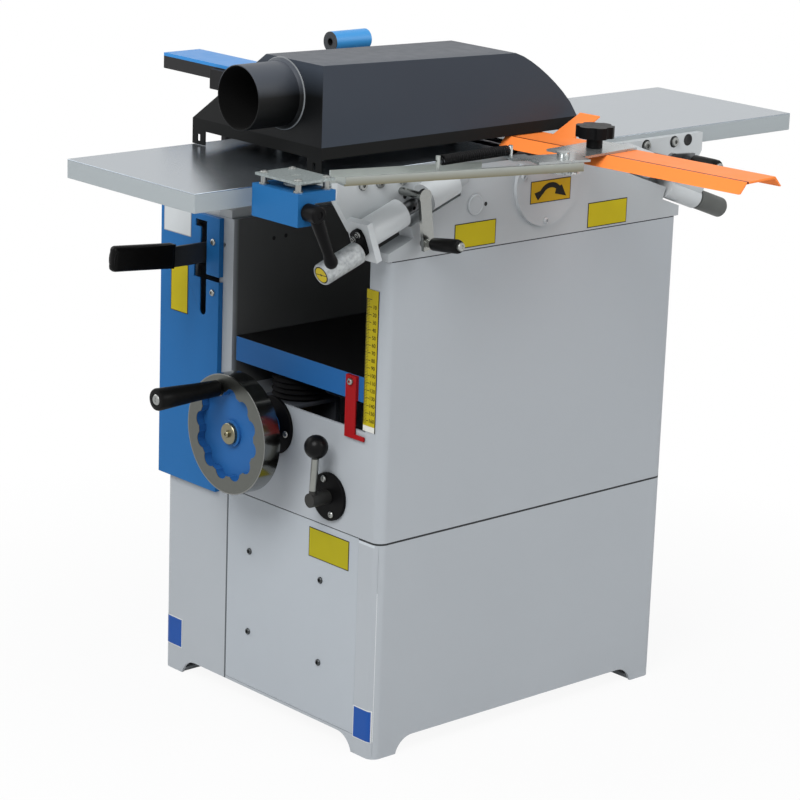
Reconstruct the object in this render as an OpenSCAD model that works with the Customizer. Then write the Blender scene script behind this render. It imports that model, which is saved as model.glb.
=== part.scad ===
// Combination planer thicknesser on a sheet cabinet, millimetres, +Z up.
// Origin on the floor under the middle of the cabinet, +X towards the outfeed end,
// -Y towards the operator's long side.

/* [Cabinet] */
// length of the cabinet along the tables
body_len = 535; // [480:5:600]
// height of the lower cabinet
base_h = 299; // [260:1:340]
// height of the top of the upper cabinet
side_h = 674; // [650:1:690]
// thickness of the cabinet walls
sheet = 4; // [3:0.5:6]
// radius of the cabinet's upright corners
corner_r = 14; // [8:1:20]
// height of the bottom edge between the feet
foot_rise = 22; // [15:1:30]
// length of a foot along the edge
foot_len = 41; // [36:1:60]
// thickness of the foot plates
foot_t = 5; // [4:0.5:10]
// distance of the anchor holes from the outer faces
anchor_inset = 22; // [20:1:26]
// radius of the anchor holes
anchor_r = 5.5; // [4:0.5:8]
// thickness of the wall beside the throat on the near side
near_wall = 33; // [28:1:40]
// width of the column on the drive side
far_col = 141; // [130:1:160]
// height of the sill under the throat over the lower cabinet
sill_rise = 145; // [131:1:151]
// seam left between stacked pieces
seam = 0.3; // [0.2:0.05:0.5]
// thickness of the floor plate inside the upper cabinet
floor_t = 8; // [5:1:12]

/* [Front cover] */
// thickness of the cover sheet
cover_t = 2; // [1:0.5:2.5]
// margin of the cover beside the throat's width on the far side
cover_far = 1; // [0:1:4]
// height of the cover's lower edge
cover_low = 26; // [24:1:40]
// distance of the cover screws from the cover's side edges
cover_inset = 48; // [20:1:80]
// height of the lower row of cover screws
cover_row_low = 105; // [60:1:140]
// height of the upper row of cover screws
cover_row_high = 221; // [180:1:250]
// radius of a screw head
screw_r = 5; // [3:0.5:7]
// height of a screw head
screw_h = 2.5; // [1.5:0.5:4]

/* [Tables] */
// overall length of both tables
table_len = 1084; // [1000:2:1200]
// middle of the tables along the cabinet
table_mid = -4; // [-20:1:20]
// width of the tables
table_w = 260; // [240:1:270]
// gap between the near table edge and the throat wall below
side_gap = 7; // [5:1:12]
// gap between the far table edge and the throat wall below
far_gap = 9; // [8:1:12]
// height of the table surface over the top of the cabinet
head_h = 112; // [106:1:130]
// depth of the table edge
table_t = 24.5; // [20:0.5:30]
// thickness of the table plate over its pockets
table_skin = 10; // [8:1:14]
// thickness of the table's rim and ribs
table_rim = 14; // [10:1:20]
// thickness of the bracket plates under the tables
bracket_t = 11.7; // [8:0.1:12]

/* [Cutter block] */
// cutter axis along the cabinet
cutter_x = 4; // [-10:1:20]
// radius of the cutter block
cutter_r = 36; // [30:0.5:38]
// knife tip beyond the block
knife_out = 0.8; // [0.5:0.1:1]
// number of knives
knife_n = 3; // [2:1:4]
// half the gap between the table lips
lip_gap = 24; // [20:1:32]
// radius of the cutter's journals
journal_r = 10; // [8:0.5:12]
// outer radius of the cutter bearings
bearing_r = 23.5; // [20:0.5:25]
// radius of the round bearing cover
cover_r = 56; // [45:1:60]
// running clearance of shafts, radial
run = 0.05; // [0.02:0.01:0.1]

/* [Inclined table slides] */
// angle of the slides to the tables
incline = 20; // [15:1:25]
// slide reference point, distance from the cutter
slide_dx = 233; // [220:1:245]
// slide reference point below the table surface
slide_dz = 47.5; // [45:0.5:55]
// slide axis in from the casting's outer face
slide_in = 9; // [8:0.5:12]
// radius of the slide shafts
shaft_r = 9; // [7:0.5:10]
// length of the cut at the lower corner of a table bracket
cut_x = 28; // [15:1:34]
// height of the cut at the lower corner of a table bracket
cut_rise = 42; // [20:1:50]
// radius of the bosses that run on them
boss_r = 19; // [15:0.5:19]
// length of the lower boss
boss_low = 61.5; // [40:0.5:70]
// length of the upper boss
boss_high = 48.5; // [30:0.5:49]
// offset of the adjuster below the shaft
adjust_n = 15; // [12:0.5:18]
// radius of the adjuster spindles
spindle_r = 3; // [2:0.5:3]
// radius of the adjuster knobs
knob_r = 14.5; // [10:0.5:16]
// length of the adjuster knobs
knob_len = 63; // [40:1:70]
// length of the infeed clamp lever
infeed_reach = 62; // [45:1:70]
// length of the outfeed clamp lever
outfeed_reach = 34; // [28:1:60]

/* [Thicknesser lift] */
// surface of the thicknesser table over the sill at its lowest
lift_rise = 72; // [61:1:81]
// thickness of the thicknesser table
lift_t = 34; // [25:1:36]
// gap beside the thicknesser table in the throat
lift_gap = 6; // [4:1:12]
// radius of the guide column
column_r = 30; // [20:1:35]
// length of the guide column
column_len = 285; // [250:5:300]
// radius of the lift screw
screw_rod_r = 11; // [8:0.5:12]
// length of the lift screw
screw_rod_len = 300; // [280:5:320]
// lift screw in from the cabinet's front
screw_in = 42.5; // [40:0.5:46]
// radius of the rotating nut
nut_r = 17; // [14:0.5:18]
// radius of the bevel gears
bevel_r = 26; // [20:0.5:27]
// handwheel axis below the sill
wheel_drop = 32; // [30:1:38]
// handwheel axis beside the middle of the tables
wheel_side = 46; // [35:1:60]
// radius of the handwheel
wheel_r = 81; // [70:1:90]
// depth of the handwheel's rim
wheel_rim = 26; // [18:1:30]
// front of the handwheel's rim, out from the cabinet
wheel_out = 82.5; // [75:0.5:95]
// length of the handwheel's grip
grip_len = 100; // [80:1:110]
// radius of the grip
grip_r = 14; // [10:0.5:15]
// radius of the grip's circle
grip_at = 62; // [56:1:66]
// radial thickness of the handwheel's rim
rim_t = 24; // [20:1:28]
// radius of the finger hollows in the rim
hollow_r = 11.6; // [9:0.1:13]
// depth of the finger hollows
hollow_dip = 6.5; // [4:0.5:8]
// turn of the first finger hollow, degrees
hollow_turn = 9.4; // [0:0.2:14]
// radius of the lug round the grip's pin
lug_r = 11; // [9:0.5:13]
// radius of the shafts behind the front
front_shaft_r = 8; // [6:0.5:10]
// lock lever axis beside the middle of the tables
lock_side = 72; // [65:1:80]
// lock lever axis below the sill
lock_drop = 102; // [94:1:108]
// length of the lock lever
lock_len = 74; // [60:1:90]
// radius of the lock lever's hub
lock_hub_r = 9.5; // [9:0.5:14]
// radius of the ball knobs
ball_r = 16; // [12:0.5:18]
// radius of the lock lever's flange
lock_flange_r = 32.5; // [25:0.5:35]
// radius of the handwheel's flange
wheel_flange_r = 40; // [30:1:42]

/* [Feed lever and gate] */
// depth of the gate panel before the cabinet
gate_t = 8; // [5:0.5:12]
// width of the gate panel
gate_w = 128; // [110:1:135]
// overhang of the gate panel past the cabinet's side
gate_over = 8; // [4:1:12]
// height of the gate panel's lower edge
gate_low = 289; // [280:1:295]
// slot centre from the gate panel's outer edge
slot_in = 94; // [80:1:100]
// width of the gate's slot
slot_w = 13; // [10:1:16]
// height of the feed lever at the gate
lever_z = 620; // [610:1:625]
// height of the feed lever's bar
lever_h = 28; // [20:1:29]
// length of the feed lever's grip
lever_grip_len = 94; // [80:1:110]
// height of the feed lever's grip
lever_grip_h = 33; // [24:1:36]
// thickness of the feed lever's grip
lever_grip_t = 14; // [8:1:20]
// pivot of the feed lever behind the cabinet's front
lever_pivot = 118; // [100:1:140]

/* [Feed rollers] */
// radius of the feed rollers
roller_r = 19; // [15:0.5:20]
// feed rollers from the cutter axis
roller_dx = 60; // [58:1:66]
// feed rollers below the cutter axis
roller_dz = 16; // [12:1:20]
// finger rod from the cutter axis
finger_dx = 105; // [100:1:112]
// finger rod below the cutter axis
finger_dz = 11; // [8:1:14]
// radius of the finger rod
finger_r = 6; // [4:0.5:7]
// number of fingers
finger_n = 22; // [12:1:26]

/* [Guard] */
// guard block along the cabinet, its infeed end
block_x = -458; // [-480:1:-440]
// size of the guard block along the table
block_l = 59; // [50:1:70]
// size of the guard block across the table
block_w = 87; // [80:1:95]
// guard block above the table
block_up = 4.5; // [3:0.5:6]
// swing of the guard arm from the table's length
arm_yaw = -15.5; // [-18:0.5:-12]
// length of the guard arm from its pivot
arm_len = 385; // [360:1:400]
// thickness of the arm's sheet
arm_t = 2.5; // [2:0.5:3]
// height of the arm's lips
arm_lip = 8.5; // [6:0.5:10]
// guard beam's angle from square to the tables
beam_yaw = 5; // [3:0.1:8]
// width of the guard beam
beam_w = 89; // [75:1:95]
// length of the guard beam
beam_len = 392; // [340:1:400]
// height of the guard beam's section
beam_h = 14; // [11:0.5:15]
// run of the beam's sloping flanks
beam_flank = 14; // [10:0.5:18]
// thickness of the guard beam
beam_t = 3; // [2:0.5:4]
// star knob in from the beam's edge
star_x = 27; // [24:1:45]
// radius of the star knob
star_r = 25; // [20:0.5:30]
// guard beam above the table
beam_up = 4; // [3.5:0.5:6]
// number of curls on the arm's spring
spring_n = 52; // [20:1:56]
// radius of the arm's spring
spring_r = 7; // [5:0.5:8]
// radius of the spring's wire
spring_wire = 0.75; // [0.5:0.05:0.9]

/* [Extraction hood] */
// infeed end of the hood
hood_x = -345; // [-380:1:-320]
// length of the hood at its rim
hood_len = 450; // [420:1:480]
// near edge of the hood in from the table's edge
hood_edge = 5; // [3:0.5:8]
// height of the hood over the table
hood_h = 137; // [120:1:150]
// width of the hood's flat top
hood_flat = 111; // [95:1:130]
// height of the rim's fold over the table
hood_fold = 34; // [30:1:40]
// clear height under the rim
hood_clear = 19; // [18.5:0.5:22]
// gap under the hood's legs, for the fine setting of the outfeed table
leg_gap = 0.5; // [0.4:0.1:0.9]
// thickness of the hood's sheet
hood_t = 2; // [1.5:0.5:3]
// radius of the dust spigot
spigot_r = 41; // [35:0.5:44]
// length of the dust spigot
spigot_len = 70; // [50:1:90]

/* [Fence] */
// fence length
fence_len = 380; // [300:5:420]
// fence height
fence_h = 78; // [60:1:85]
// fence thickness
fence_t = 8; // [6:0.5:10]
// fence arm's middle along the cabinet
fence_x = -130; // [-136:1:-126]
// width of the fence arm
fence_arm_w = 64; // [50:1:70]
// length of the fence arm
fence_arm_len = 220; // [180:1:240]
// top of the fence arm over the table
fence_arm_up = 64; // [58:1:70]
// length of the clamp boss behind the fence
boss_len = 63; // [50:1:70]
// radius of the clamp boss
boss_out_r = 14; // [10:0.5:16]
// clamp boss over the fence's lower edge
boss_up = 110; // [105:1:120]

/* [Motor] */
// motor radius
motor_r = 75; // [60:1:80]
// motor axis along the cabinet
motor_x = 150; // [140:1:160]
// height of the motor axis
motor_z = 130; // [120:1:140]
// motor pulley radius
motor_pulley_r = 45; // [35:1:50]
// cutter pulley radius
cutter_pulley_r = 26; // [22:1:30]
// belt thickness
belt_t = 4; // [3:0.5:6]
// belt width
belt_w = 16; // [10:1:18]

/* [Hidden] */
$fn = 48;
eps = 0.01;
foot_w = foot_len - 1;
throat_w = side_gap + table_w + far_gap;
body_w = near_wall + throat_w + far_col;
fx = -body_len / 2;
bx1 = body_len / 2;
ny = -body_w / 2;
fy = body_w / 2;
throat_n = ny + near_wall;
throat_f = fy - far_col;
table_n = throat_n + side_gap;
table_f = table_n + table_w;
table_c = table_n + table_w / 2;
table_x0 = table_mid - table_len / 2;
table_x1 = table_mid + table_len / 2;
sill_h = base_h + sill_rise;
lift_top = sill_h + lift_rise;
wheel_z = sill_h - wheel_drop;
wheel_y = table_c + wheel_side;
lock_z = sill_h - lock_drop;
lock_y = table_c - lock_side;
knife_r = cutter_r + knife_out;
table_top = side_h + head_h;
cut_z = table_top - knife_r;
plate_out = table_n - seam - bracket_t;
cast_in = plate_out - 1.5;
slide_y = ny + slide_in;
slide_x = cutter_x - slide_dx;
slide_z = table_top - slide_dz;
cast_top = table_top - 8;
cast_low = side_h + seam;
upper_low = base_h + seam;
well_low = upper_low + floor_t;
cover_n = throat_n + 6;
cover_f = throat_f + cover_far;
step_s = 81;
low_s = -14;
high_s = 29.5;
lip_r = knife_r + 4.2;
roller_z = cut_z - roller_dz;
finger_z = cut_z - finger_dz;
finger_x = cutter_x + finger_dx;
screw_x = fx + screw_in;
column_x = 60;
lift_low = lift_top - lift_t;
lift_n = throat_n + lift_gap - 1;
lift_f = throat_f - lift_gap - 1;
sleeve_r = column_r + 9;
block_y0 = table_n - seam - block_w;
block_y1 = table_n - seam;
arm_px = block_x + 30;
arm_py = block_y0 + 42;
arm_z = table_top + 7;
plate_z = arm_z + 8.5;
beam_z = table_top + beam_up;
pivot_s = 371;
beam_x = arm_px + 396.5;
beam_y = arm_py + 59.5;
saddle_z = max(arm_z + arm_t + arm_lip, beam_z + beam_h) + seam;
hood_n = table_n + hood_edge;
hood_f = table_f + 3;
hood_w = hood_f - hood_n;
hood_z = table_top + hood_clear;
fold_z = table_top + hood_fold;
hood_top = table_top + hood_h;
spigot_y = hood_n + 78;
spigot_z = hood_top - spigot_r - 4;
fence_y = hood_f + 5;
fence_z = table_top + 2;
fence_pin_y = fence_y + 9;
fence_pin_z = fence_z + 9;
fence_arm_y = fence_pin_y + 68;
fence_top = table_top + fence_arm_up;
pulley_y = 2 * table_c - ny + 10;
gate_f = fy + gate_over;
slot_y = gate_f - slot_in;
gate_x = fx - gate_t;
gate_top = side_h - 2;

// box between two corners
module bx(x0, x1, y0, y1, z0, z1) {
  translate([x0, y0, z0])
    cube([x1 - x0, y1 - y0, z1 - z0]);
}

// round bar along X
module rx(x0, x1, y, z, r) {
  translate([x0, y, z])
    rotate([0, 90, 0])
      cylinder(r = r, h = x1 - x0);
}

// round bar along Y
module ry(y0, y1, x, z, r) {
  translate([x, y0, z])
    rotate([-90, 0, 0])
      cylinder(r = r, h = y1 - y0);
}

// round bar along Z
module rz(z0, z1, x, y, r) {
  translate([x, y, z0])
    cylinder(r = r, h = z1 - z0);
}

// cabinet box with rounded upright corners
module shell(z0, z1) {
  bx(fx + corner_r, bx1 - corner_r, ny, fy, z0, z1);
  bx(fx, bx1, ny + corner_r, fy - corner_r, z0, z1);
  for (sx = [-1, 1])
    for (sy = [-1, 1])
      rz(z0, z1, sx * (bx1 - corner_r), sy * (fy - corner_r), corner_r);
}

// mirrors to the outfeed side about the cutter
module outfeed_side() {
  translate([2 * cutter_x, 0, 0])
    mirror([1, 0, 0])
      children();
}

// mirrors to the drive side about the middle of the tables
module drive_side() {
  translate([0, 2 * table_c, 0])
    mirror([0, 1, 0])
      children();
}

// local frame of the inclined slide, x along the shaft towards the cutter
module slide() {
  translate([slide_x, slide_y, slide_z])
    rotate([0, -incline, 0])
      children();
}

// slot along the floor edge with rounded ends, across the cabinet
module foot_gap_y(half) {
  bx(fx - 1, bx1 + 1, -half + 30, half - 30, -1, foot_rise);
  for (s = [-1, 1])
    rx(fx - 1, bx1 + 1, s * (half - 30), foot_rise - 30, 30);
}

// the same along the cabinet
module foot_gap_x(half) {
  bx(-half + 30, half - 30, ny - 1, fy + 1, -1, foot_rise);
  for (s = [-1, 1])
    ry(ny - 1, fy + 1, s * (half - 30), foot_rise - 30, 30);
}

module lower_cabinet() {
  color([0.62, 0.65, 0.67]) {
    difference() {
      shell(0, base_h);
      bx(fx + sheet, bx1 - sheet, ny + sheet, fy - sheet, -1, base_h - sheet);
      foot_gap_y(fy - foot_len);
      foot_gap_x(bx1 - foot_len);
      bx(fx - 1, fx + cover_t + seam, cover_n - seam, cover_f + seam, cover_low - seam, base_h + 1);
      bx(fx - 1, fx + sheet + 1, cover_n + 16, cover_f - 16, cover_low + 20, base_h - 24);
      bx(fx + 20, bx1 - 20, throat_n + 8, throat_f - 8, base_h - sheet - 1, base_h + 1);
      bx(-60, bx1 - 20, pulley_y - 16, pulley_y + 16, base_h - sheet - 1, base_h + 1);
    }
    for (sx = [-1, 1])
      for (sy = [-1, 1])
        difference() {
          intersection() {
            translate([sx * (bx1 - foot_w / 2), sy * (fy - foot_w / 2), foot_t / 2])
              cube([foot_w, foot_w, foot_t], center = true);
            shell(0, foot_t);
          }
          rz(-1, foot_t + 1, sx * (bx1 - anchor_inset), sy * (fy - anchor_inset), anchor_r);
        }
  }
}

module front_cover() {
  color([0.62, 0.65, 0.67])
    bx(fx, fx + cover_t, cover_n, cover_f, cover_low, base_h - seam);
}

// a domed head standing out of the front
module front_head(x, y, z) {
  rx(x - screw_h, x, y, z, screw_r);
}

// every small screw head on the fixed frame
module frame_screws() {
  color([0.5, 0.5, 0.5]) {
    for (y = [cover_n + cover_inset + 26, cover_f - cover_inset])
      for (z = [cover_row_low, cover_row_high])
        front_head(fx, y, z);
    for (z = [lever_z + 18, lever_z - 52])
      front_head(gate_x, slot_y - 21, z);
    for (a = [70, 250])
      front_head(fx - 5, lock_y + 24 * cos(a), lock_z + 24 * sin(a));
    front_head(fx - 5, wheel_y - 30, wheel_z - 6);
    for (a = [20, 160, 270])
      ry(ny - 5.5 - screw_h, ny - 5.5, cutter_x + 47 * cos(a), cut_z + 47 * sin(a) - 4, screw_r);
    ry(ny - 3, ny, slide_x + 108, slide_z - 6, 13);
  }
}

module upper_cabinet() {
  color([0.62, 0.65, 0.67])
    difference() {
      shell(upper_low, side_h);
      bx(fx - 1, bx1 + 1, throat_n, throat_f, sill_h, side_h + 1);
      bx(fx + sheet, bx1 - sheet, throat_n, throat_f, well_low, sill_h + 1);
      bx(fx + sheet + 8, bx1 - sheet - 8, ny + sheet, throat_n - sheet, upper_low - 1, side_h - sheet);
      bx(fx + sheet, bx1 - sheet, throat_f + sheet, fy - sheet, well_low, side_h - sheet);
      bx(-60, bx1 - 20, pulley_y - 16, pulley_y + 16, upper_low - 1, well_low + 1);
      bx(cutter_x - 60, cutter_x + 90, pulley_y - 16, pulley_y + 16, side_h - sheet - 1, side_h + 1);
      bx(fx - 1, fx + sheet + 1, slot_y - 26, slot_y + 26, lever_z - 92, lever_z + 46);
      rx(fx - 1, fx + sheet + 1, wheel_y, wheel_z, front_shaft_r + 2);
      rx(fx - 1, fx + sheet + 1, lock_y, lock_z, front_shaft_r + 2);
      rz(upper_low - 1, well_low + 1, screw_x, wheel_y, screw_rod_r + 2);
      rz(upper_low - 1, well_low + 1, column_x, table_c, column_r + 1);
      rx(fx - 1, fx + sheet + 1, throat_f + 20, side_h - 38, 3);
    }
}

// blue panel with the slot gate of the feed lever
module gate_panel() {
  color([0.15, 0.4, 0.66])
    difference() {
      bx(gate_x, fx - eps, gate_f - gate_w, gate_f, gate_low, gate_top);
      bx(gate_x + 2.5, fx + 1, gate_f - gate_w + 2.5, gate_f - 2.5, gate_low + 2.5, gate_top - 2.5);
      bx(gate_x - 1, fx, slot_y - slot_w / 2, slot_y + slot_w / 2, lever_z - 80, lever_z + 40);
      rx(gate_x - 1, fx, slot_y, lever_z - 80, slot_w / 2);
      bx(gate_x - 1, fx, slot_y - slot_w / 2, slot_y + 18, lever_z + 34, lever_z + 44);
      bx(gate_x - 1, fx, slot_y - slot_w / 2, slot_y + 20, lever_z - 36, lever_z - 16);
      bx(gate_x - 1, fx, gate_f - gate_w - 1, slot_y, lever_z - 36, lever_z - 29);
    }
}

// profile shared by both castings, seen along Y at the near side
module casting() {
  difference() {
    union() {
      difference() {
        bx(fx, bx1, ny, cast_in, cast_low, cast_top);
        for (k = [0, 1])
          if (k == 0)
            slide_relief();
          else
            outfeed_side()
              slide_relief();
      }
      shaft_seat();
      outfeed_side()
        shaft_seat();
    }
    shaft_bore();
    outfeed_side()
      shaft_bore();
    ry(cast_in - 16.5, cast_in + 1, cutter_x, cut_z, bearing_r + run);
    for (s = [-1, 1])
      ry(cast_in - 15, cast_in + 1, cutter_x + s * roller_dx, roller_z, front_shaft_r + run);
    ry(cast_in - 12, cast_in + 1, finger_x, finger_z, finger_r + run);
  }
}

// room for the bosses and brackets above the casting's ledges
module slide_relief() {
  slide() {
    translate([-400, -slide_in - 5, -(boss_r + 18)])
      cube([400 + low_s + 4, 100, 300]);
    translate([low_s - 1, -slide_in - 5, -(boss_r + 1)])
      cube([step_s - low_s + 1, 100, 300]);
  }
}

module shaft_seat() {
  slide()
    rx(step_s, step_s + 16, 0, 0, shaft_r + 4);
}

module shaft_bore() {
  slide()
    rx(step_s - 1, step_s + 17, 0, 0, shaft_r + run);
}

module near_casting() {
  color([0.62, 0.65, 0.67])
    casting();
}

module far_casting() {
  color([0.62, 0.65, 0.67])
    difference() {
      drive_side()
        casting();
      ry(0, pulley_y, cutter_x, cut_z, bearing_r + run);
    }
}

// round cover of the cutter bearing, flat on top
module bearing_cover() {
  color([0.62, 0.65, 0.67])
    intersection() {
      ry(ny - 5.5, ny, cutter_x, cut_z - 2, cover_r);
      bx(cutter_x - 100, cutter_x + 100, ny - 10, ny, cut_z - 100, cast_top);
    }
}

// inclined shafts of both tables, held in the castings
module slide_shafts() {
  color([0.25, 0.25, 0.27])
    for (k = [0 : 3])
      if (k == 0)
        one_shaft();
      else if (k == 1)
        outfeed_side()
          one_shaft();
      else if (k == 2)
        drive_side()
          one_shaft();
      else
        drive_side()
          outfeed_side()
            one_shaft();
}

module one_shaft() {
  slide()
    difference() {
      rx(low_s - boss_low + 12, step_s + 15, 0, 0, shaft_r);
      ry(-20, 20, 3, 0, 2.5);
    }
}

module scale_plate() {
  color([0.75, 0.66, 0.12])
    bx(fx - 1.2, fx, throat_n - 19, throat_n + 4, sill_h + 3, sill_h + 190);
}

// black flanges of the handwheel and of the lock lever
module front_flanges() {
  color([0.08, 0.08, 0.09]) {
    difference() {
      rx(fx - 5, fx, wheel_y, wheel_z, wheel_flange_r);
      rx(fx - 6, fx + 1, wheel_y, wheel_z, front_shaft_r + run);
    }
    difference() {
      rx(fx - 5, fx, lock_y, lock_z, lock_flange_r);
      rx(fx - 6, fx + 1, lock_y, lock_z, front_shaft_r + run);
    }
  }
}

// two plates that hold the turning nut, on a back plate
module nut_bracket() {
  color([0.3, 0.3, 0.32])
    difference() {
      union() {
        bx(fx + sheet + seam, screw_x + 40, wheel_y - 38, wheel_y + 38, wheel_z - 46, wheel_z - 36);
        bx(fx + sheet + seam, screw_x + 40, wheel_y - 38, wheel_y + 38, wheel_z + 28, wheel_z + 33);
        bx(screw_x + 32, screw_x + 40, wheel_y - 38, wheel_y + 38, well_low, wheel_z + 33);
      }
      rz(wheel_z - 50, wheel_z + 40, screw_x, wheel_y, nut_r + run);
    }
}

// fixed sleeve of the guide column, with the lock's pad
module column_sleeve() {
  color([0.3, 0.3, 0.32])
    difference() {
      union() {
        rz(well_low, sill_h - 4, column_x, table_c, sleeve_r);
        rz(well_low, well_low + 8, column_x, table_c, sleeve_r + 16);
        bx(column_x - 12, column_x + 12, lock_y + 15, table_c, lock_z - 14, lock_z + 14);
      }
      rz(well_low - 1, sill_h, column_x, table_c, column_r + run);
    }
}

module motor() {
  color([0.3, 0.32, 0.35]) {
    difference() {
      union() {
        ry(-90, pulley_y - 26, motor_x, motor_z, motor_r);
        bx(motor_x - 70, motor_x + 70, -70, 70, foot_t + 12, motor_z);
        bx(motor_x - 100, bx1 - sheet - seam, -80, 80, foot_t + 12, foot_t + 20);
      }
      ry(0, pulley_y, motor_x, motor_z, front_shaft_r + 4);
    }
    bx(bx1 - sheet - seam - 8, bx1 - sheet - seam, -80, 80, foot_t + 20, motor_z);
  }
}

belt_dx = cutter_x - motor_x;
belt_dz = cut_z - motor_z;
belt_d = sqrt(belt_dx * belt_dx + belt_dz * belt_dz);
belt_lean = atan2(belt_dx, belt_dz);
belt_open = asin((motor_pulley_r - cutter_pulley_r) / belt_d);

// side view of the belt's outside with the larger pulley at the origin
module belt_shape(extra) {
  r0 = motor_pulley_r + extra;
  r1 = cutter_pulley_r + extra;
  turn = 180 - 2 * belt_open;
  polygon(concat(
    [for (i = [0 : 24]) let (a = belt_open + i * turn / 24)
      [r1 * cos(a), belt_d + r1 * sin(a)]],
    [for (i = [0 : 30]) let (a = 180 - belt_open + i * (360 - turn) / 30)
      [r0 * cos(a), r0 * sin(a)]]
  ));
}

module drive_belt() {
  color([0.06, 0.06, 0.06])
    translate([motor_x, pulley_y + belt_w / 2, motor_z])
      rotate([0, belt_lean, 0])
        rotate([90, 0, 0])
          difference() {
            linear_extrude(belt_w)
              belt_shape(seam + belt_t);
            translate([0, 0, -1])
              linear_extrude(belt_w + 2)
                belt_shape(seam);
          }
}

module cutter_bearings() {
  color([0.55, 0.56, 0.58])
    for (k = [0, 1])
      if (k == 0)
        bearing_ring();
      else
        drive_side()
          bearing_ring();
}

module bearing_ring() {
  difference() {
    ry(cast_in - 16, cast_in - 2, cutter_x, cut_z, bearing_r);
    ry(cast_in - 17, cast_in, cutter_x, cut_z, journal_r + run);
  }
}

// fixed pins, the rod of the fingers and the pivot of the feed lever
module fixed_pins() {
  color([0.5, 0.5, 0.52]) {
    ry(cast_in - 11, 2 * table_c - cast_in + 11, finger_x, finger_z, finger_r);
    ry(throat_f + sheet, slot_y + 14, fx + lever_pivot, lever_z, front_shaft_r);
    ry(throat_f + sheet, throat_f + sheet + 6, fx + lever_pivot, lever_z, 20);
  }
}

switch_x = 120;
switch_z = 560;

module switch_box() {
  color([0.1, 0.1, 0.11])
    difference() {
      union() {
        bx(switch_x - 45, switch_x + 45, fy, fy + 38, switch_z - 40, switch_z + 40);
        rz(switch_z - 58, switch_z - 40, switch_x, fy + 19, 9);
      }
      for (s = [-1, 1])
        ry(fy + 26, fy + 39, switch_x + s * 20, switch_z, 12 + run);
    }
}

module start_button() {
  color([0.1, 0.5, 0.2])
    ry(fy + 33, fy + 41, switch_x - 20, switch_z, 12);
}

module stop_button() {
  color([0.7, 0.1, 0.1])
    ry(fy + 33, fy + 45, switch_x + 20, switch_z, 12);
}

// blue bracket at the drive side that guides the fence arm
module fence_bracket() {
  a0 = fence_x - fence_arm_w / 2;
  a1 = fence_x + fence_arm_w / 2;
  color([0.15, 0.4, 0.66]) {
    bx(a0 - 10, a1 + 10, fy, fy + 10, side_h - 120, fence_top - 22 - seam);
    bx(a0 - 10, a1 + 10, fy, fy + 38, fence_top - 34, fence_top - 22 - seam);
    bx(a0 - 10, a0 - seam, fy, fy + 38, fence_top - 34, fence_top - 6);
    bx(a1 + seam, a1 + 10, fy, fy + 38, fence_top - 34, fence_top - 6);
  }
}

// hood over the belt's upper end on the drive column
module belt_cover() {
  x0 = cutter_x - cutter_pulley_r - belt_t - 34;
  x1 = cutter_x + motor_pulley_r + belt_t + 47;
  y0 = 2 * table_c - ny + seam;
  y1 = pulley_y + belt_w / 2 + 14;
  top = max(cast_top, cut_z + cutter_pulley_r + seam + belt_t + 5);
  color([0.62, 0.65, 0.67])
    difference() {
      bx(x0, x1, y0, y1, side_h, top);
      bx(x0 + 3, x1 - 3, y0 - 1, y1 - 3, side_h - 1, top - 2.5);
    }
}

boot_low = wheel_z + 33 + seam;
boot_high = lift_low - seam;
boot_n = 5;

// bellows round the lift screw
module boot() {
  step = (boot_high - boot_low) / (2 * boot_n);
  color([0.05, 0.05, 0.05])
    translate([screw_x, wheel_y, boot_low])
      rotate_extrude()
        polygon(concat(
          [for (i = [0 : 2 * boot_n]) [i % 2 == 0 ? 31 : 37, i * step]],
          [for (i = [2 * boot_n : -1 : 0]) [i % 2 == 0 ? 28.5 : 34.5, i * step]]
        ));
}

// table plate with a lip cut round the cutter and pockets below
module table_plate(x0, x1) {
  span = (x1 - x0 - 4 * table_rim - 12) / 3;
  difference() {
    bx(x0, x1, table_n, table_f, table_top - table_t, table_top);
    ry(table_n - 1, table_f + 1, cutter_x, cut_z, lip_r);
    for (i = [0 : 2])
      bx(x0 + table_rim + i * (span + table_rim), x0 + table_rim + i * (span + table_rim) + span,
        table_n + table_rim, table_f - table_rim, table_top - table_t - 1, table_top - table_skin);
  }
}

module infeed_table() {
  color([0.7, 0.72, 0.74])
    table_plate(table_x0, cutter_x - lip_gap);
}

module outfeed_table() {
  color([0.7, 0.72, 0.74])
    outfeed_side()
      table_plate(2 * cutter_x - table_x1, cutter_x - lip_gap);
}

// bracket plate with its two bosses on the slide shaft, near side
module bracket() {
  difference() {
    union() {
      difference() {
        bx(slide_x - 102, slide_x + 104, plate_out, table_n - seam, slide_z - 27, table_top - 7);
        translate([slide_x - 102, table_n, slide_z - 27])
          rotate([90, 0, 0])
            linear_extrude(bracket_t + 2)
              polygon([[-1, -1], [cut_x + cut_x / cut_rise, -1], [-1, cut_rise + cut_rise / cut_x]]);
      }
      slide() {
        rx(low_s - boss_low, low_s, 0, 0, boss_r);
        rx(high_s, high_s + boss_high, 0, 0, boss_r);
        bx(low_s - boss_low, low_s, 0, plate_out - slide_y + 3, -9, 9);
        bx(high_s, high_s + boss_high, 0, plate_out - slide_y + 3, -9, 9);
      }
    }
    slide()
      rx(low_s - boss_low + 10, high_s + boss_high + 60, 0, 0, shaft_r + run);
  }
}

// flange at the lower end of the near boss
module adjuster_flange() {
  slide()
    bx(low_s - boss_low - 8, low_s - boss_low + 1, -20, plate_out - slide_y + 3,
      -(adjust_n + 18), boss_r + 2);
}

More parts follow.
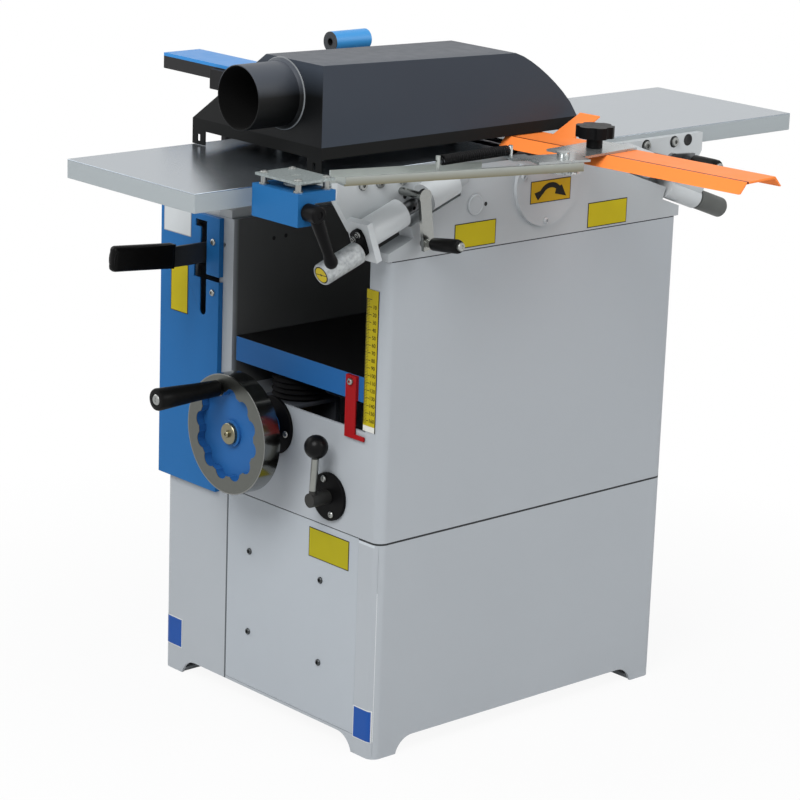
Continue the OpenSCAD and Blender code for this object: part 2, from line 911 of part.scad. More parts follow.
module infeed_saddle() {
  color([0.66, 0.69, 0.71])
    difference() {
      union() {
        bracket();
        adjuster_flange();
        drive_side()
          bracket();
      }
      slide()
        rx(low_s - boss_low - 9, low_s - boss_low + 12, -2, -adjust_n, spindle_r + run);
      ry(plate_out - 1, table_n, slide_x + clamp_dx, slide_z + clamp_dz, 5 + run);
    }
}

module outfeed_saddle() {
  color([0.66, 0.69, 0.71])
    outfeed_side()
      difference() {
        union() {
          bracket();
          slide()
            rx(low_s - boss_low - 3, low_s, -2, -adjust_n - 4, 15);
          drive_side()
            bracket();
        }
        slide()
          rx(low_s - boss_low - 9, low_s - boss_low + 12, -2, -adjust_n - 4, spindle_r + run);
        slide()
          rx(low_s - boss_low + 10, high_s + boss_high + 60, 0, 0, shaft_r + run);
        ry(plate_out - 1, table_n, slide_x + clamp_dx, slide_z + clamp_dz, 5 + run);
      }
}

clamp_dx = 5;
clamp_dz = 18.5;

// bolt heads along a bracket plate, at offsets from the slide's reference
module bracket_bolts(at) {
  for (dx = at)
    difference() {
      ry(plate_out - 4, plate_out, slide_x + dx, table_top - 15, 6);
      ry(plate_out - 5, plate_out - 1.5, slide_x + dx, table_top - 15, 3);
    }
}

module infeed_bolts() {
  color([0.6, 0.62, 0.62])
    bracket_bolts([-61, -32, 7]);
}

module outfeed_bolts() {
  color([0.6, 0.62, 0.62])
    outfeed_side()
      bracket_bolts([-44, 12]);
}

// black plate that keeps the infeed adjuster, with two screws
module adjuster_plate() {
  s0 = low_s - boss_low - 8;
  color([0.07, 0.07, 0.08])
    slide()
      difference() {
        union() {
          translate([s0 - 4, 0, 0])
            rotate([90, 0, 90])
              linear_extrude(4)
                polygon([[-11, -adjust_n], [-10, 4], [-6, 12], [1, 13], [8, 10], [15, 4], [15, -6],
                  [8, 1 - adjust_n], [6, -5 - adjust_n], [1, -9 - adjust_n], [-5, -9 - adjust_n],
                  [-10, -5 - adjust_n]]);
          rx(s0 - 7, s0 - 4 + eps, -2, -adjust_n + 21, 4);
          rx(s0 - 7, s0 - 4 + eps, 9, -adjust_n + 13, 4);
        }
        rx(s0 - 9, s0 + 1, -2, -adjust_n, spindle_r + run);
      }
}

// knurled adjuster, its spindle in the flange
module infeed_knob() {
  s0 = low_s - boss_low - 12;
  color([0.7, 0.71, 0.72])
    slide() {
      rx(s0 - 4, s0 + 20, -2, -adjust_n, spindle_r);
      rx(s0 - 4 - knob_len, s0 - 4, -2, -adjust_n, knob_r);
      rx(s0 - 7 - knob_len, s0 - 4 - knob_len, -2, -adjust_n, knob_r - 1.5);
    }
}

module outfeed_knob() {
  s0 = low_s - boss_low - 3;
  color([0.3, 0.31, 0.33])
    outfeed_side()
      slide() {
        rx(s0 - 4, s0 + 14, -2, -adjust_n - 4, spindle_r);
        rx(s0 - knob_len + 7, s0 - 1, -2, -adjust_n - 4, knob_r - 0.5);
      }
}

// clamp lever with a pin, a plate and a grip that turns out towards the operator
module clamp_lever(turn, reach) {
  x = slide_x + clamp_dx;
  z = slide_z + clamp_dz;
  y = slide_y - boss_r - 3;
  ry(y, table_n - 3, x, z, 5);
  translate([x, y, z])
    rotate([0, turn, 0]) {
      ry(-5, 0, 0, 0, 10);
      bx(-9, 9, -5, 0, -reach + 4, 0);
      translate([0, -3, -reach])
        rotate([-7, 0, 0]) {
          ry(-58, -12, 0, 0, 8);
          ry(-63, 10, 0, 0, 5);
        }
      bx(-9, 9, -5, 0, -reach - 8, -reach + 6);
    }
}

module infeed_clamp() {
  color([0.55, 0.56, 0.55])
    clamp_lever(-8, infeed_reach);
}

module outfeed_clamp() {
  color([0.2, 0.2, 0.21])
    outfeed_side()
      clamp_lever(86, outfeed_reach);
}

// blue block that carries the guard on the infeed table's edge
module guard_block() {
  color([0.15, 0.4, 0.66])
    difference() {
      union() {
        bx(block_x, block_x + block_l, block_y0, block_y1, table_top - 9, table_top + block_up);
        bx(block_x, block_x + 26, block_y0, block_y1, table_top - 36, table_top + block_up);
      }
      ry(block_y0 - 1, block_y1 + 1, block_x + 14, table_top - 18, 5 + run);
      rz(table_top - 10, table_top + 10, arm_px, arm_py, 6 + run);
    }
}

// zinc plate over the arm's pivot, on four screws
module guard_plate() {
  color([0.6, 0.62, 0.58]) {
    difference() {
      bx(block_x, block_x + block_l + 1, block_y0 + 2, block_y1 - 5, plate_z, plate_z + 3);
      rz(plate_z - 1, plate_z + 4, arm_px, arm_py, 6 + run);
    }
    for (dx = [8, block_l - 7])
      for (dy = [10, block_w - 13]) {
        rz(table_top + block_up, plate_z, block_x + dx, block_y0 + dy, 4);
        rz(table_top + block_up, table_top + block_up + 2, block_x + dx, block_y0 + dy, 6);
      }
  }
}

module guard_clamp() {
  x = block_x + 14;
  z = table_top - 18;
  color([0.06, 0.06, 0.07]) {
    ry(block_y0 - 24, block_y0 - seam, x, z, 11);
    ry(block_y0 - 2, block_y1 - 4, x, z, 5);
    translate([x, block_y0 - 15, z])
      rotate([0, 156, 0]) {
        cylinder(r1 = 7, r2 = 5, h = 66);
        translate([0, 0, 66])
          sphere(r = 8.5);
      }
  }
}

// local frame of the guard arm, x along it from its pivot
module on_arm() {
  translate([arm_px, arm_py, arm_z])
    rotate([0, 0, arm_yaw])
      children();
}

post_a = [185, -16];
post_b = [307, 22];
post_h = 28;
post_r = 3;

// tapered sheet arm with lips, its pivot pin and the spring post
module guard_arm() {
  color([0.6, 0.62, 0.58])
    on_arm() {
      difference() {
        union() {
          rz(0, arm_t, 0, 0, 14);
          bx(0, 60, -9, 9, 0, arm_t);
          linear_extrude(arm_t)
            polygon([[52, -29.5], [arm_len, -29.5], [arm_len, 14], [52, 18]]);
          translate([0, 0, arm_t - eps])
            linear_extrude(arm_lip)
              polygon([[54, -29.5], [arm_len, -29.5], [arm_len, -29.5 + arm_t], [54, -29.5 + arm_t]]);
          translate([0, 0, arm_t - eps])
            linear_extrude(arm_lip)
              polygon([[54, 18], [54, 18 - arm_t], [post_b[0] - 45, 15.4 - arm_t], [post_b[0] - 45, 15.4]]);
        }
        rz(-1, arm_t + 1, pivot_s, 0, 5 + run);
      }
      rz(-(arm_z - table_top - block_up) - 12, plate_z - arm_z + 2, 0, 0, 6);
      rz(arm_t - eps, post_h, post_a[0], post_a[1], post_r);
    }
}

spring_from = [post_a[0], post_a[1]];
spring_to = [post_b[0], post_b[1]];
spring_run = norm(spring_to - spring_from);
spring_lean = atan2(spring_to[1] - spring_from[1], spring_to[0] - spring_from[0]);
spring_len = spring_run - 2 * (post_r + seam + spring_wire);
spring_pitch = spring_len / spring_n;
ring_n = 8 * spring_n;

function spring_at(i) = let (
  c = i / 8,
  k = min(1, 0.35 + 0.65 * min(c, spring_n - c)),
  r = (spring_r - spring_wire) * k
) [c * spring_pitch, r * cos(45 * i), r * sin(45 * i)];

spring_gap = min([for (i = [0 : ring_n - 13]) for (j = [i + 6 : i + 12])
  norm(spring_at(i) - spring_at(j))]) - 2 * spring_wire;
echo(spring_gap = spring_gap);

// one unbroken wire tube of six sides
module guard_spring() {
  pts = [for (i = [0 : ring_n]) for (a = [0 : 5]) let (
      p = spring_at(i),
      out = [0, cos(45 * i), sin(45 * i)],
      w = spring_wire * cos(60 * a),
      u = spring_wire * sin(60 * a)
    ) p + w * out + [u, 0, 0]];
  sides = [for (i = [0 : ring_n - 1]) for (a = [0 : 5]) let (
      b = (a + 1) % 6,
      p = i * 6,
      q = p + 6
    ) each [[p + a, q + a, q + b], [p + a, q + b, p + b]]];
  head = [for (a = [1 : 4]) [0, a, a + 1]];
  tail = [for (a = [1 : 4]) [ring_n * 6, ring_n * 6 + a + 1, ring_n * 6 + a]];
  color([0.05, 0.05, 0.05])
    on_arm()
      translate([spring_from[0], spring_from[1], post_h - 6])
        rotate([0, 0, spring_lean])
          translate([(spring_run - spring_len) / 2, 0, 0])
            polyhedron(points = pts, faces = concat(sides, head, tail), convexity = 10);
}

// local frame of the guard beam, x across it and y away from the operator
module on_beam() {
  translate([beam_x, beam_y, beam_z])
    rotate([0, 0, beam_yaw])
      children();
}

saddle_y = -140;
saddle_w = 64;

// zinc strap from the arm's end over the beam, with the tail that the spring pulls
module guard_saddle() {
  up = saddle_z - arm_z;
  over = saddle_z - beam_z;
  color([0.66, 0.68, 0.66]) {
    on_arm() {
      bx(pivot_s - 50, pivot_s + 24, -28, 18, up, up + 3);
      bx(post_b[0] - 6, pivot_s - 40, 2, post_b[1] + 6, up, up + 3);
      rz(-9, up + eps, pivot_s, 0, 5);
      rz(up + 3 - eps, up + 9, pivot_s, 0, 8);
      rz(-5, -seam, pivot_s, 0, 24);
      rz(up + 3 - eps, post_h, post_b[0], post_b[1], post_r);
    }
    on_beam()
      difference() {
        bx(-30, beam_w - beam_flank, saddle_y - saddle_w / 2, saddle_y + saddle_w / 2, over, over + 3);
        rz(0, 60, star_x, saddle_y, 5 + run);
      }
  }
}

// orange beam of trapezoid section with a slot, and its raised flap
module guard_beam() {
  color([1, 0.5, 0.2])
    on_beam() {
      difference() {
        rotate([90, 0, 0])
          linear_extrude(beam_len)
            polygon([[0, 0], [beam_t + 1, 0], [beam_flank + 1, beam_h - beam_t],
              [beam_w - beam_flank - 1, beam_h - beam_t], [beam_w - beam_t - 1, 0], [beam_w, 0],
              [beam_w - beam_flank, beam_h], [beam_flank, beam_h]]);
        bx(star_x - 5.2, star_x + 5.2, saddle_y - 6, saddle_y + 42, -1, beam_h + 1);
      }
      translate([beam_w - beam_flank - 4, -68, beam_h - 2.5])
        rotate([0, -24, 0])
          cube([60, 34, 2.5]);
    }
}

// star knob that clamps the beam under the strap
module guard_knob() {
  up = saddle_z - beam_z + 3;
  color([0.05, 0.05, 0.06])
    on_beam()
      translate([star_x, saddle_y, 0]) {
        rz(up + seam, up + 15, 0, 0, 10.5);
        rz(beam_h - beam_t - 5, up + 4, 0, 0, 5);
        difference() {
          rz(up + 14, up + 29, 0, 0, star_r);
          for (a = [30 : 60 : 359])
            rz(up + 13, up + 30, (star_r + 5) * cos(a), (star_r + 5) * sin(a), 8.5);
        }
      }
}

// outside or inside of the hood, inset by the given sheet
module hood_form(t) {
  intersection() {
    translate([0, hood_f + 10, 0])
      rotate([90, 0, 0])
        linear_extrude(hood_w + 20)
          hood_side(t);
    translate([hood_x - 10, 0, 0])
      rotate([90, 0, 90])
        linear_extrude(hood_len + 60)
          polygon([[hood_n + t, hood_z - t], [hood_f - t, hood_z - t], [hood_f - t, fold_z - t * 0.3],
            [hood_n + hood_flat - t * 0.7, hood_top - t], [hood_n + t, hood_top - t]]);
  }
}

nose_len = 120;
nose_n = 8;

// side view of the hood with its rounded outfeed end
module hood_side(t) {
  x1 = hood_x + hood_len - t;
  rise = hood_top - 9 - t - fold_z;
  polygon(concat(
    [[hood_x + t, hood_z - t], [hood_x + t, hood_top - t]],
    [for (i = [0 : nose_n]) let (u = i / nose_n)
      [x1 - nose_len + nose_len * u, fold_z + rise * pow(1 - pow(u, 1.25), 0.8)]],
    [[x1, hood_z - t]]
  ));
}

// black sheet hood on four legs with its dust spigot
module hood() {
  color([0.2, 0.21, 0.23]) {
    difference() {
      union() {
        hood_form(0);
        rx(hood_x - spigot_len, hood_x + eps, spigot_y, spigot_z, spigot_r);
      }
      hood_form(hood_t);
      rx(hood_x - spigot_len - 1, hood_x + hood_t + 1, spigot_y, spigot_z, spigot_r - hood_t);
    }
    for (x = [hood_x, hood_x + hood_len - hood_t])
      for (y = [hood_n, hood_f - 26])
        difference() {
          bx(x, x + hood_t, y, y + 26, table_top + leg_gap, hood_z + 2);
          bx(x - 1, x + hood_t + 1, y + 10, y + 16, table_top + 5, hood_z - 5);
        }
  }
}

// thicknesser table, plate with ribs
module lift_table() {
  color([0.15, 0.4, 0.66])
    difference() {
      bx(fx + 1.5, bx1 - 1.5, lift_n, lift_f, lift_low, lift_top);
      for (s = [0, 1])
        bx(s == 0 ? screw_x + 60 : column_x + 50, s == 0 ? column_x - 50 : bx1 - 16,
          lift_n + 12, lift_f - 12, lift_low - 1, lift_top - 12);
    }
}

// guide column and rising screw under the thicknesser table
module lift_column() {
  color([0.55, 0.56, 0.58]) {
    rz(lift_low - column_len, lift_low, column_x, table_c, column_r);
    rz(lift_low - screw_rod_len, lift_low, screw_x, wheel_y, screw_rod_r);
  }
}

module pointer() {
  y0 = throat_n + 17;
  color([0.55, 0.08, 0.08]) {
    bx(fx - 3.5, fx + 1.5, y0, y0 + 20, lift_low, lift_top - 1);
    bx(fx - 3.5, fx - 1.5, y0, y0 + 20, lift_low - 50, lift_low + 1);
    bx(fx - 3.5, fx - 1.5, y0 - 18, y0 + 1, lift_low - 50, lift_low - 44);
    rx(fx - 6, fx - 3.5 + eps, y0 + 10, lift_top - 9, 4);
  }
}

// rotating nut with its bevel gear, drawn as a pitch cone
module bevel_nut() {
  color([0.5, 0.48, 0.4])
    difference() {
      union() {
        rz(wheel_z - 45, wheel_z + 33 - seam, screw_x, wheel_y, nut_r);
        rz(wheel_z - 36 + 0.3, wheel_z - bevel_r - seam, screw_x, wheel_y, bevel_r);
        translate([screw_x, wheel_y, wheel_z - bevel_r - seam - eps])
          cylinder(r1 = bevel_r, r2 = nut_r, h = bevel_r - nut_r);
      }
      rz(wheel_z - 50, wheel_z + 40, screw_x, wheel_y, screw_rod_r + run);
    }
}

wheel_x = fx - wheel_out;

// steel rim with finger hollows
module handwheel_rim() {
  color([0.7, 0.7, 0.72])
    difference() {
      union() {
        difference() {
          rx(wheel_x, wheel_x + wheel_rim, wheel_y, wheel_z, wheel_r);
          rx(wheel_x - 1, wheel_x + wheel_rim + 1, wheel_y, wheel_z, wheel_r - rim_t);
          wheel_hollows(wheel_x - 1, wheel_x + wheel_rim + 1, hollow_r);
        }
        rx(wheel_x, wheel_x + wheel_rim, grip_y, grip_z, lug_r);
      }
      rx(wheel_x - 1, wheel_x + 19, grip_y, grip_z, 5 + run);
    }
}

// finger hollows of the handwheel, left out at the grip's lug
module wheel_hollows(x0, x1, r) {
  for (a = [hollow_turn : 30 : hollow_turn + 330])
    if (abs(a - 75) > 15)
      rx(x0, x1, wheel_y + hollow_at * cos(a), wheel_z + hollow_at * sin(a), r);
}

// web, hub and shaft of the handwheel with its bevel pinion
module handwheel_web() {
  color([0.15, 0.4, 0.66])
    difference() {
      union() {
        rx(wheel_x + 12, wheel_x + 18, wheel_y, wheel_z, wheel_r - rim_t - seam);
        wheel_hollows(wheel_x + 12, wheel_x + 18, hollow_r - seam);
        rx(wheel_x + 8, fx - 5 - seam, wheel_y, wheel_z, 18);
        rx(fx - 10, screw_x - bevel_r - seam, wheel_y, wheel_z, front_shaft_r);
        translate([screw_x - bevel_r - seam - 6, wheel_y, wheel_z])
          rotate([0, 90, 0])
            cylinder(r = bevel_r - 1, h = 6);
        translate([screw_x - bevel_r - seam - eps, wheel_y, wheel_z])
          rotate([0, 90, 0])
            cylinder(r1 = bevel_r - 1, r2 = nut_r + 1, h = bevel_r - nut_r - 2);
      }
      rx(wheel_x + 7, wheel_x + 19, grip_y, grip_z, lug_r + seam);
    }
}

hollow_at = wheel_r - rim_t + hollow_dip - hollow_r;
grip_y = wheel_y + grip_at * sin(15);
grip_z = wheel_z + grip_at * cos(15);

// turning grip on the handwheel
module wheel_grip() {
  color([0.06, 0.06, 0.07]) {
    translate([wheel_x - 4, grip_y, grip_z])
      rotate([0, -90, 0])
        cylinder(r1 = grip_r - 3, r2 = grip_r + 1, h = grip_len);
    rx(wheel_x - 4, wheel_x + 18, grip_y, grip_z, 5);
  }
}

// lock lever, its shaft and cam
module lock_lever() {
  color([0.6, 0.62, 0.62]) {
    rx(fx - 36, fx - 5 - seam, lock_y, lock_z, lock_hub_r);
    rx(fx - 10, column_x - 12, lock_y, lock_z, front_shaft_r);
    rx(column_x - 12 - eps, column_x + 12, lock_y, lock_z, 14.5);
    translate([fx - 31, lock_y, lock_z])
      rotate([4, 0, 0]) {
        cylinder(r = 5, h = lock_len);
        translate([0, 0, lock_len])
          sphere(r = ball_r);
      }
  }
}

// feed lever through the gate, with its grip
module feed_lever() {
  color([0.5, 0.52, 0.52]) {
    difference() {
      union() {
        bx(fx - 64, fx + lever_pivot, slot_y - 2.5, slot_y + 2.5,
          lever_z - lever_h / 2, lever_z + lever_h / 2);
        ry(slot_y - 8, slot_y + 8, fx + lever_pivot, lever_z, 16);
      }
      ry(slot_y - 20, slot_y + 20, fx + lever_pivot, lever_z, front_shaft_r + run);
    }
    translate([fx - 61, slot_y + lever_grip_t / 2, lever_z + 2])
      rotate([90, 4.5, 0])
        linear_extrude(lever_grip_t)
          polygon(concat(
            [[0, -lever_grip_h / 2], [0, lever_grip_h / 2]],
            [for (i = [0 : 10]) let (a = 90 - 18 * i)
              [-lever_grip_len - 6 * cos(a), (lever_grip_h / 2 - 2.5) * sin(a)]]
          ));
  }
}

// cutter block with its journals and pulley
module cutter_block() {
  color([0.45, 0.46, 0.48])
    difference() {
      union() {
        ry(table_n + 1, table_f - 1, cutter_x, cut_z, cutter_r);
        ry(cast_in - 15, 2 * table_c - cast_in + 16, cutter_x, cut_z, journal_r);
        ry(2 * table_c - cast_in + 16 - eps, pulley_y + belt_w / 2, cutter_x, cut_z, journal_r - 1);
        ry(pulley_y - belt_w / 2, pulley_y + belt_w / 2, cutter_x, cut_z, cutter_pulley_r);
      }
      for (i = [0 : knife_n - 1])
        translate([cutter_x, 0, cut_z])
          rotate([0, 30 + i * 360 / knife_n, 0])
            bx(-2, 10, table_n, table_f, cutter_r - 16, cutter_r + 5);
    }
}

module cutter_knives() {
  color([0.7, 0.71, 0.73])
    for (i = [0 : knife_n - 1])
      translate([cutter_x, 0, cut_z])
        rotate([0, 30 + i * 360 / knife_n, 0]) {
          bx(-2, 1, table_n + 1, table_f - 1, cutter_r - 16, knife_r - 0.2);
          bx(1, 10, table_n + 1, table_f - 1, cutter_r - 16, cutter_r - 4);
        }
}

module motor_pulley() {
  color([0.4, 0.41, 0.43]) {
    ry(pulley_y - belt_w / 2, pulley_y + belt_w / 2, motor_x, motor_z, motor_pulley_r);
    ry(10, pulley_y, motor_x, motor_z, front_shaft_r + 4 - run);
  }
}

// feed roller with journals in the castings
module roller(x) {
  ry(table_n + 1, table_f - 1, x, roller_z, roller_r);
  ry(cast_in - 14, 2 * table_c - cast_in + 14, x, roller_z, front_shaft_r);
}

module entry_roller() {
  color([0.45, 0.46, 0.48])
    difference() {
      roller(cutter_x + roller_dx);
      for (a = [0 : 20 : 359])
        ry(table_n, table_f, cutter_x + roller_dx + (roller_r + 1.5) * cos(a),
          roller_z + (roller_r + 1.5) * sin(a), 2.4);
    }
}

module exit_roller() {
  color([0.45, 0.46, 0.48])
    roller(cutter_x - roller_dx);
}

finger_pitch = (table_w - 14) / finger_n;

// anti kickback fingers on a common sleeve
module fingers() {
  color([0.5, 0.45, 0.3])
    difference() {
      union() {
        ry(table_n + 4, table_f - 4, finger_x, finger_z, finger_r + 3);
        for (i = [0 : finger_n - 1])
          translate([finger_x, table_n + 7 + (i + 0.5) * finger_pitch, finger_z])
            rotate([90, 0, 0])
              translate([0, 0, -3])
                linear_extrude(6)
                  polygon([[-8, 0], [8, 0], [2, -22], [-10, -27]]);
      }
      ry(table_n, table_f, finger_x, finger_z, finger_r + run);
    }
}

// fence arm, channel under a blue plate, and its hinge carrier
module fence_arm() {
  a0 = fence_x - fence_arm_w / 2;
  a1 = fence_x + fence_arm_w / 2;
  c0 = fence_x - 24;
  c1 = fence_x + 24;
  low = fence_z + 1;
  color([0.15, 0.4, 0.66]) {
    difference() {
      bx(a0, a1, fence_arm_y, fence_arm_y + fence_arm_len, fence_top - 22, fence_top);
      bx(a0 + 5, a1 - 5, fence_arm_y + 12, fence_arm_y + fence_arm_len + 1, fence_top - 23, fence_top - 5);
    }
    bx(c0, c1, fence_arm_y, fence_arm_y + 10, low - 4, fence_top - 22 + eps);
    bx(c0, c1, fence_pin_y - 6, fence_arm_y + 5, low - 4, low);
    difference() {
      for (x = [c0, c1 - 10])
        union() {
          bx(x, x + 10, fence_pin_y - 6, fence_pin_y + 6, low - eps, fence_pin_z);
          rx(x, x + 10, fence_pin_y, fence_pin_z, 6);
        }
    }
    rx(c0 + 2, c1 - 2, fence_pin_y, fence_pin_z, 3);
  }
}

// fence plate with its hinge knuckle, back post and clamp boss
module fence_plate() {
  c0 = fence_x - 24;
  c1 = fence_x + 24;
  b0 = fence_x + 32;
  boss_z = fence_z + boss_up;
  color([0.66, 0.68, 0.7]) {
    difference() {
      union() {
        difference() {
          bx(-fence_len / 2, fence_len / 2, fence_y, fence_y + fence_t, fence_z, fence_z + fence_h);
          bx(c0 - 2, c1 + 2, fence_y - 1, fence_y + fence_t + 1, fence_z - 1, fence_pin_z + 9.5);
        }
        rx(c0 + 12, c1 - 12, fence_pin_y, fence_pin_z, 6);
        bx(c0 + 12, c1 - 12, fence_y, fence_pin_y, fence_pin_z + 1, fence_pin_z + 12);
      }
      rx(c0, c1, fence_pin_y, fence_pin_z, 3 + run);
    }
    bx(b0 + 4, b0 + boss_len - 8, fence_y + fence_t - eps, fence_y + fence_t + 8, fence_z + 20, boss_z - 6);
    difference() {
      rx(b0, b0 + boss_len, fence_y + fence_t + 4, boss_z, boss_out_r);
      rx(b0 - 1, b0 + 30, fence_y + fence_t + 4, boss_z, 5);
    }
  }
}

lower_cabinet();
front_cover();
frame_screws();
upper_cabinet();
gate_panel();
near_casting();
far_casting();
bearing_cover();
slide_shafts();
scale_plate();
front_flanges();
nut_bracket();
column_sleeve();
motor();
drive_belt();
cutter_bearings();
fixed_pins();
belt_cover();
switch_box();
fence_bracket();
boot();
infeed_table();
infeed_saddle();
infeed_bolts();
adjuster_plate();
guard_block();
guard_plate();
infeed_knob();
infeed_clamp();
outfeed_table();
outfeed_saddle();
outfeed_bolts();
outfeed_knob();
outfeed_clamp();
hood();
guard_clamp();
guard_arm();
guard_spring();
guard_saddle();
guard_beam();
guard_knob();
lift_table();
lift_column();
pointer();
bevel_nut();
handwheel_rim();
handwheel_web();
wheel_grip();
lock_lever();
feed_lever();
cutter_block();
cutter_knives();
motor_pulley();
entry_roller();
exit_roller();
fingers();
fence_arm();
fence_plate();
start_button();
stop_button();
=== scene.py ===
import bpy
import math
from mathutils import Matrix, Vector


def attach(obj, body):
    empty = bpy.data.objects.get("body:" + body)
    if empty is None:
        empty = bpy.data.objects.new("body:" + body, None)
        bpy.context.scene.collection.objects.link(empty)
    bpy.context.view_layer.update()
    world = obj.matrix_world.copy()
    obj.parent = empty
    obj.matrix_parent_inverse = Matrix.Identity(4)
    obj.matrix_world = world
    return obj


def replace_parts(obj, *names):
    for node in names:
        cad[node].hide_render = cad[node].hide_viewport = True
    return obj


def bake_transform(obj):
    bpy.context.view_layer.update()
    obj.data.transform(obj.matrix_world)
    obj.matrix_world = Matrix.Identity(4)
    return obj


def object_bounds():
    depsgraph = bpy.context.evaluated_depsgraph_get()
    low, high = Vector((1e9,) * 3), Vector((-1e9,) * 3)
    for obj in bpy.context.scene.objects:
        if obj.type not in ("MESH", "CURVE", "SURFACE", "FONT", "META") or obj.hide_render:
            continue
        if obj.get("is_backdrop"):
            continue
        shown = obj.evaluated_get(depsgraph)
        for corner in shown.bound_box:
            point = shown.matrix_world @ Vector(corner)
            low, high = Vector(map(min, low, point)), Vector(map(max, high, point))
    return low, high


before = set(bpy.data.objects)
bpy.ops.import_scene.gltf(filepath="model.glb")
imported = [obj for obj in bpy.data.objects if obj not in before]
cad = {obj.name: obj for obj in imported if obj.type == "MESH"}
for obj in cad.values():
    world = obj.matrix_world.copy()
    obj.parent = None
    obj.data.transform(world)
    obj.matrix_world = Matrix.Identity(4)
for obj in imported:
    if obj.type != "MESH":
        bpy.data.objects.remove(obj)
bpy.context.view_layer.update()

# The room: a plain pale floor, an even studio sky and four soft lamps.
# The camera stands at the infeed corner, a little above the tables, on a long lens.
bpy.ops.object.select_all(action="DESELECT")
scene = bpy.context.scene
scene.view_settings.view_transform = "Standard"
azimuth, elevation, roll = math.radians(-42.41), math.radians(15.533), math.radians(2.035)
ground_run = math.cos(elevation)
back = Vector((math.sin(azimuth) * ground_run, -math.cos(azimuth) * ground_run, math.sin(elevation)))
level = (-back).cross(Vector((0, 0, 1))).normalized()
upright = level.cross(-back)
right = level * math.cos(roll) + upright * math.sin(roll)
above = upright * math.cos(roll) - level * math.sin(roll)
bpy.ops.object.camera_add()
camera = bpy.context.active_object
focal_pixels, picture_pixels, sensor = 2864.26, 800, 36
looks_at, stands_off = Vector((-0.10363, -0.0767, 0.435)), 3.8751
camera.data.lens = focal_pixels * sensor / picture_pixels
camera.data.sensor_width = sensor
camera.data.clip_end = 60
place = Matrix((right, above, back)).transposed().to_4x4()
place.translation = looks_at + back * stands_off
camera.matrix_world = place
scene.camera = camera


def seen_directly(tree):
    # one for rays from the camera, a mirror or glass, and nought for the rest
    path = tree.nodes.new("ShaderNodeLightPath")
    share = path.outputs["Is Camera Ray"]
    for kind in ("Is Glossy Ray", "Is Transmission Ray"):
        larger = tree.nodes.new("ShaderNodeMath")
        larger.operation = "MAXIMUM"
        tree.links.new(share, larger.inputs[0])
        tree.links.new(path.outputs[kind], larger.inputs[1])
        share = larger.outputs[0]
    return share


def shader(tree, kind, colour, **sockets):
    # a plain shader of one colour
    made = tree.nodes.new(kind)
    made.inputs["Color"].default_value = (*colour, 1)
    for socket, value in sockets.items():
        made.inputs[socket].default_value = value
    return made


def show(tree, share, first, second, output):
    # mixes two shaders by a share and sends them to the output
    blend = tree.nodes.new("ShaderNodeMixShader")
    tree.links.new(share, blend.inputs[0])
    tree.links.new(first.outputs[0], blend.inputs[1])
    tree.links.new(second.outputs[0], blend.inputs[2])
    surface = tree.nodes.new(output)
    tree.links.new(blend.outputs[0], surface.inputs["Surface"])


bpy.ops.mesh.primitive_plane_add(size=40)
floor = bpy.context.active_object
floor.name = "studio_floor"
floor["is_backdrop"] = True
floor_look = bpy.data.materials.new("studio_floor")
floor_look.use_nodes = True
tree = floor_look.node_tree
tree.nodes.clear()
matte = shader(tree, "ShaderNodeBsdfDiffuse", (0.66, 0.66, 0.66))
glow = shader(tree, "ShaderNodeEmission", (1, 1, 1), Strength=1.0)
where = tree.nodes.new("ShaderNodeTexCoord")
reach = tree.nodes.new("ShaderNodeVectorMath")
reach.operation = "LENGTH"
tree.links.new(where.outputs["Object"], reach.inputs[0])
fade = tree.nodes.new("ShaderNodeMapRange")
for socket, value in (("From Min", 0.45), ("From Max", 1.1), ("To Min", 0.92), ("To Max", 1.0)):
    fade.inputs[socket].default_value = value
tree.links.new(reach.outputs["Value"], fade.inputs["Value"])
share = tree.nodes.new("ShaderNodeMath")
share.operation = "MULTIPLY"
tree.links.new(seen_directly(tree), share.inputs[0])
tree.links.new(fade.outputs["Result"], share.inputs[1])
show(tree, share.outputs[0], matte, glow, "ShaderNodeOutputMaterial")
floor.data.materials.append(floor_look)

world = bpy.data.worlds.new("studio_sky")
scene.world = world
world.use_nodes = True
tree = world.node_tree
tree.nodes.clear()
sky = shader(tree, "ShaderNodeBackground", (0.95, 0.98, 1.0), Strength=0.34)
paper = shader(tree, "ShaderNodeBackground", (1, 1, 1), Strength=1.0)
show(tree, seen_directly(tree), sky, paper, "ShaderNodeOutputWorld")

for name, spot, aim, size, power in (
    ("key_lamp", (-3.0, -1.3, 3.3), (0, 0, 0.45), 2.2, 150),
    ("side_lamp", (1.8, -3.4, 2.7), (0, 0, 0.5), 2.6, 76),
    ("top_lamp", (0.2, 0.6, 3.4), (0, 0, 0.7), 2.2, 4),
    ("back_lamp", (-1.5, 3.3, 2.4), (0, 0, 0.45), 2.4, 42),
):
    bpy.ops.object.light_add(type="AREA", location=spot)
    lamp = bpy.context.active_object
    lamp.name = name
    lamp.data.size = size
    lamp.data.energy = power
    lamp.rotation_euler = (Vector(spot) - Vector(aim)).to_track_quat("Z", "Y").to_euler()


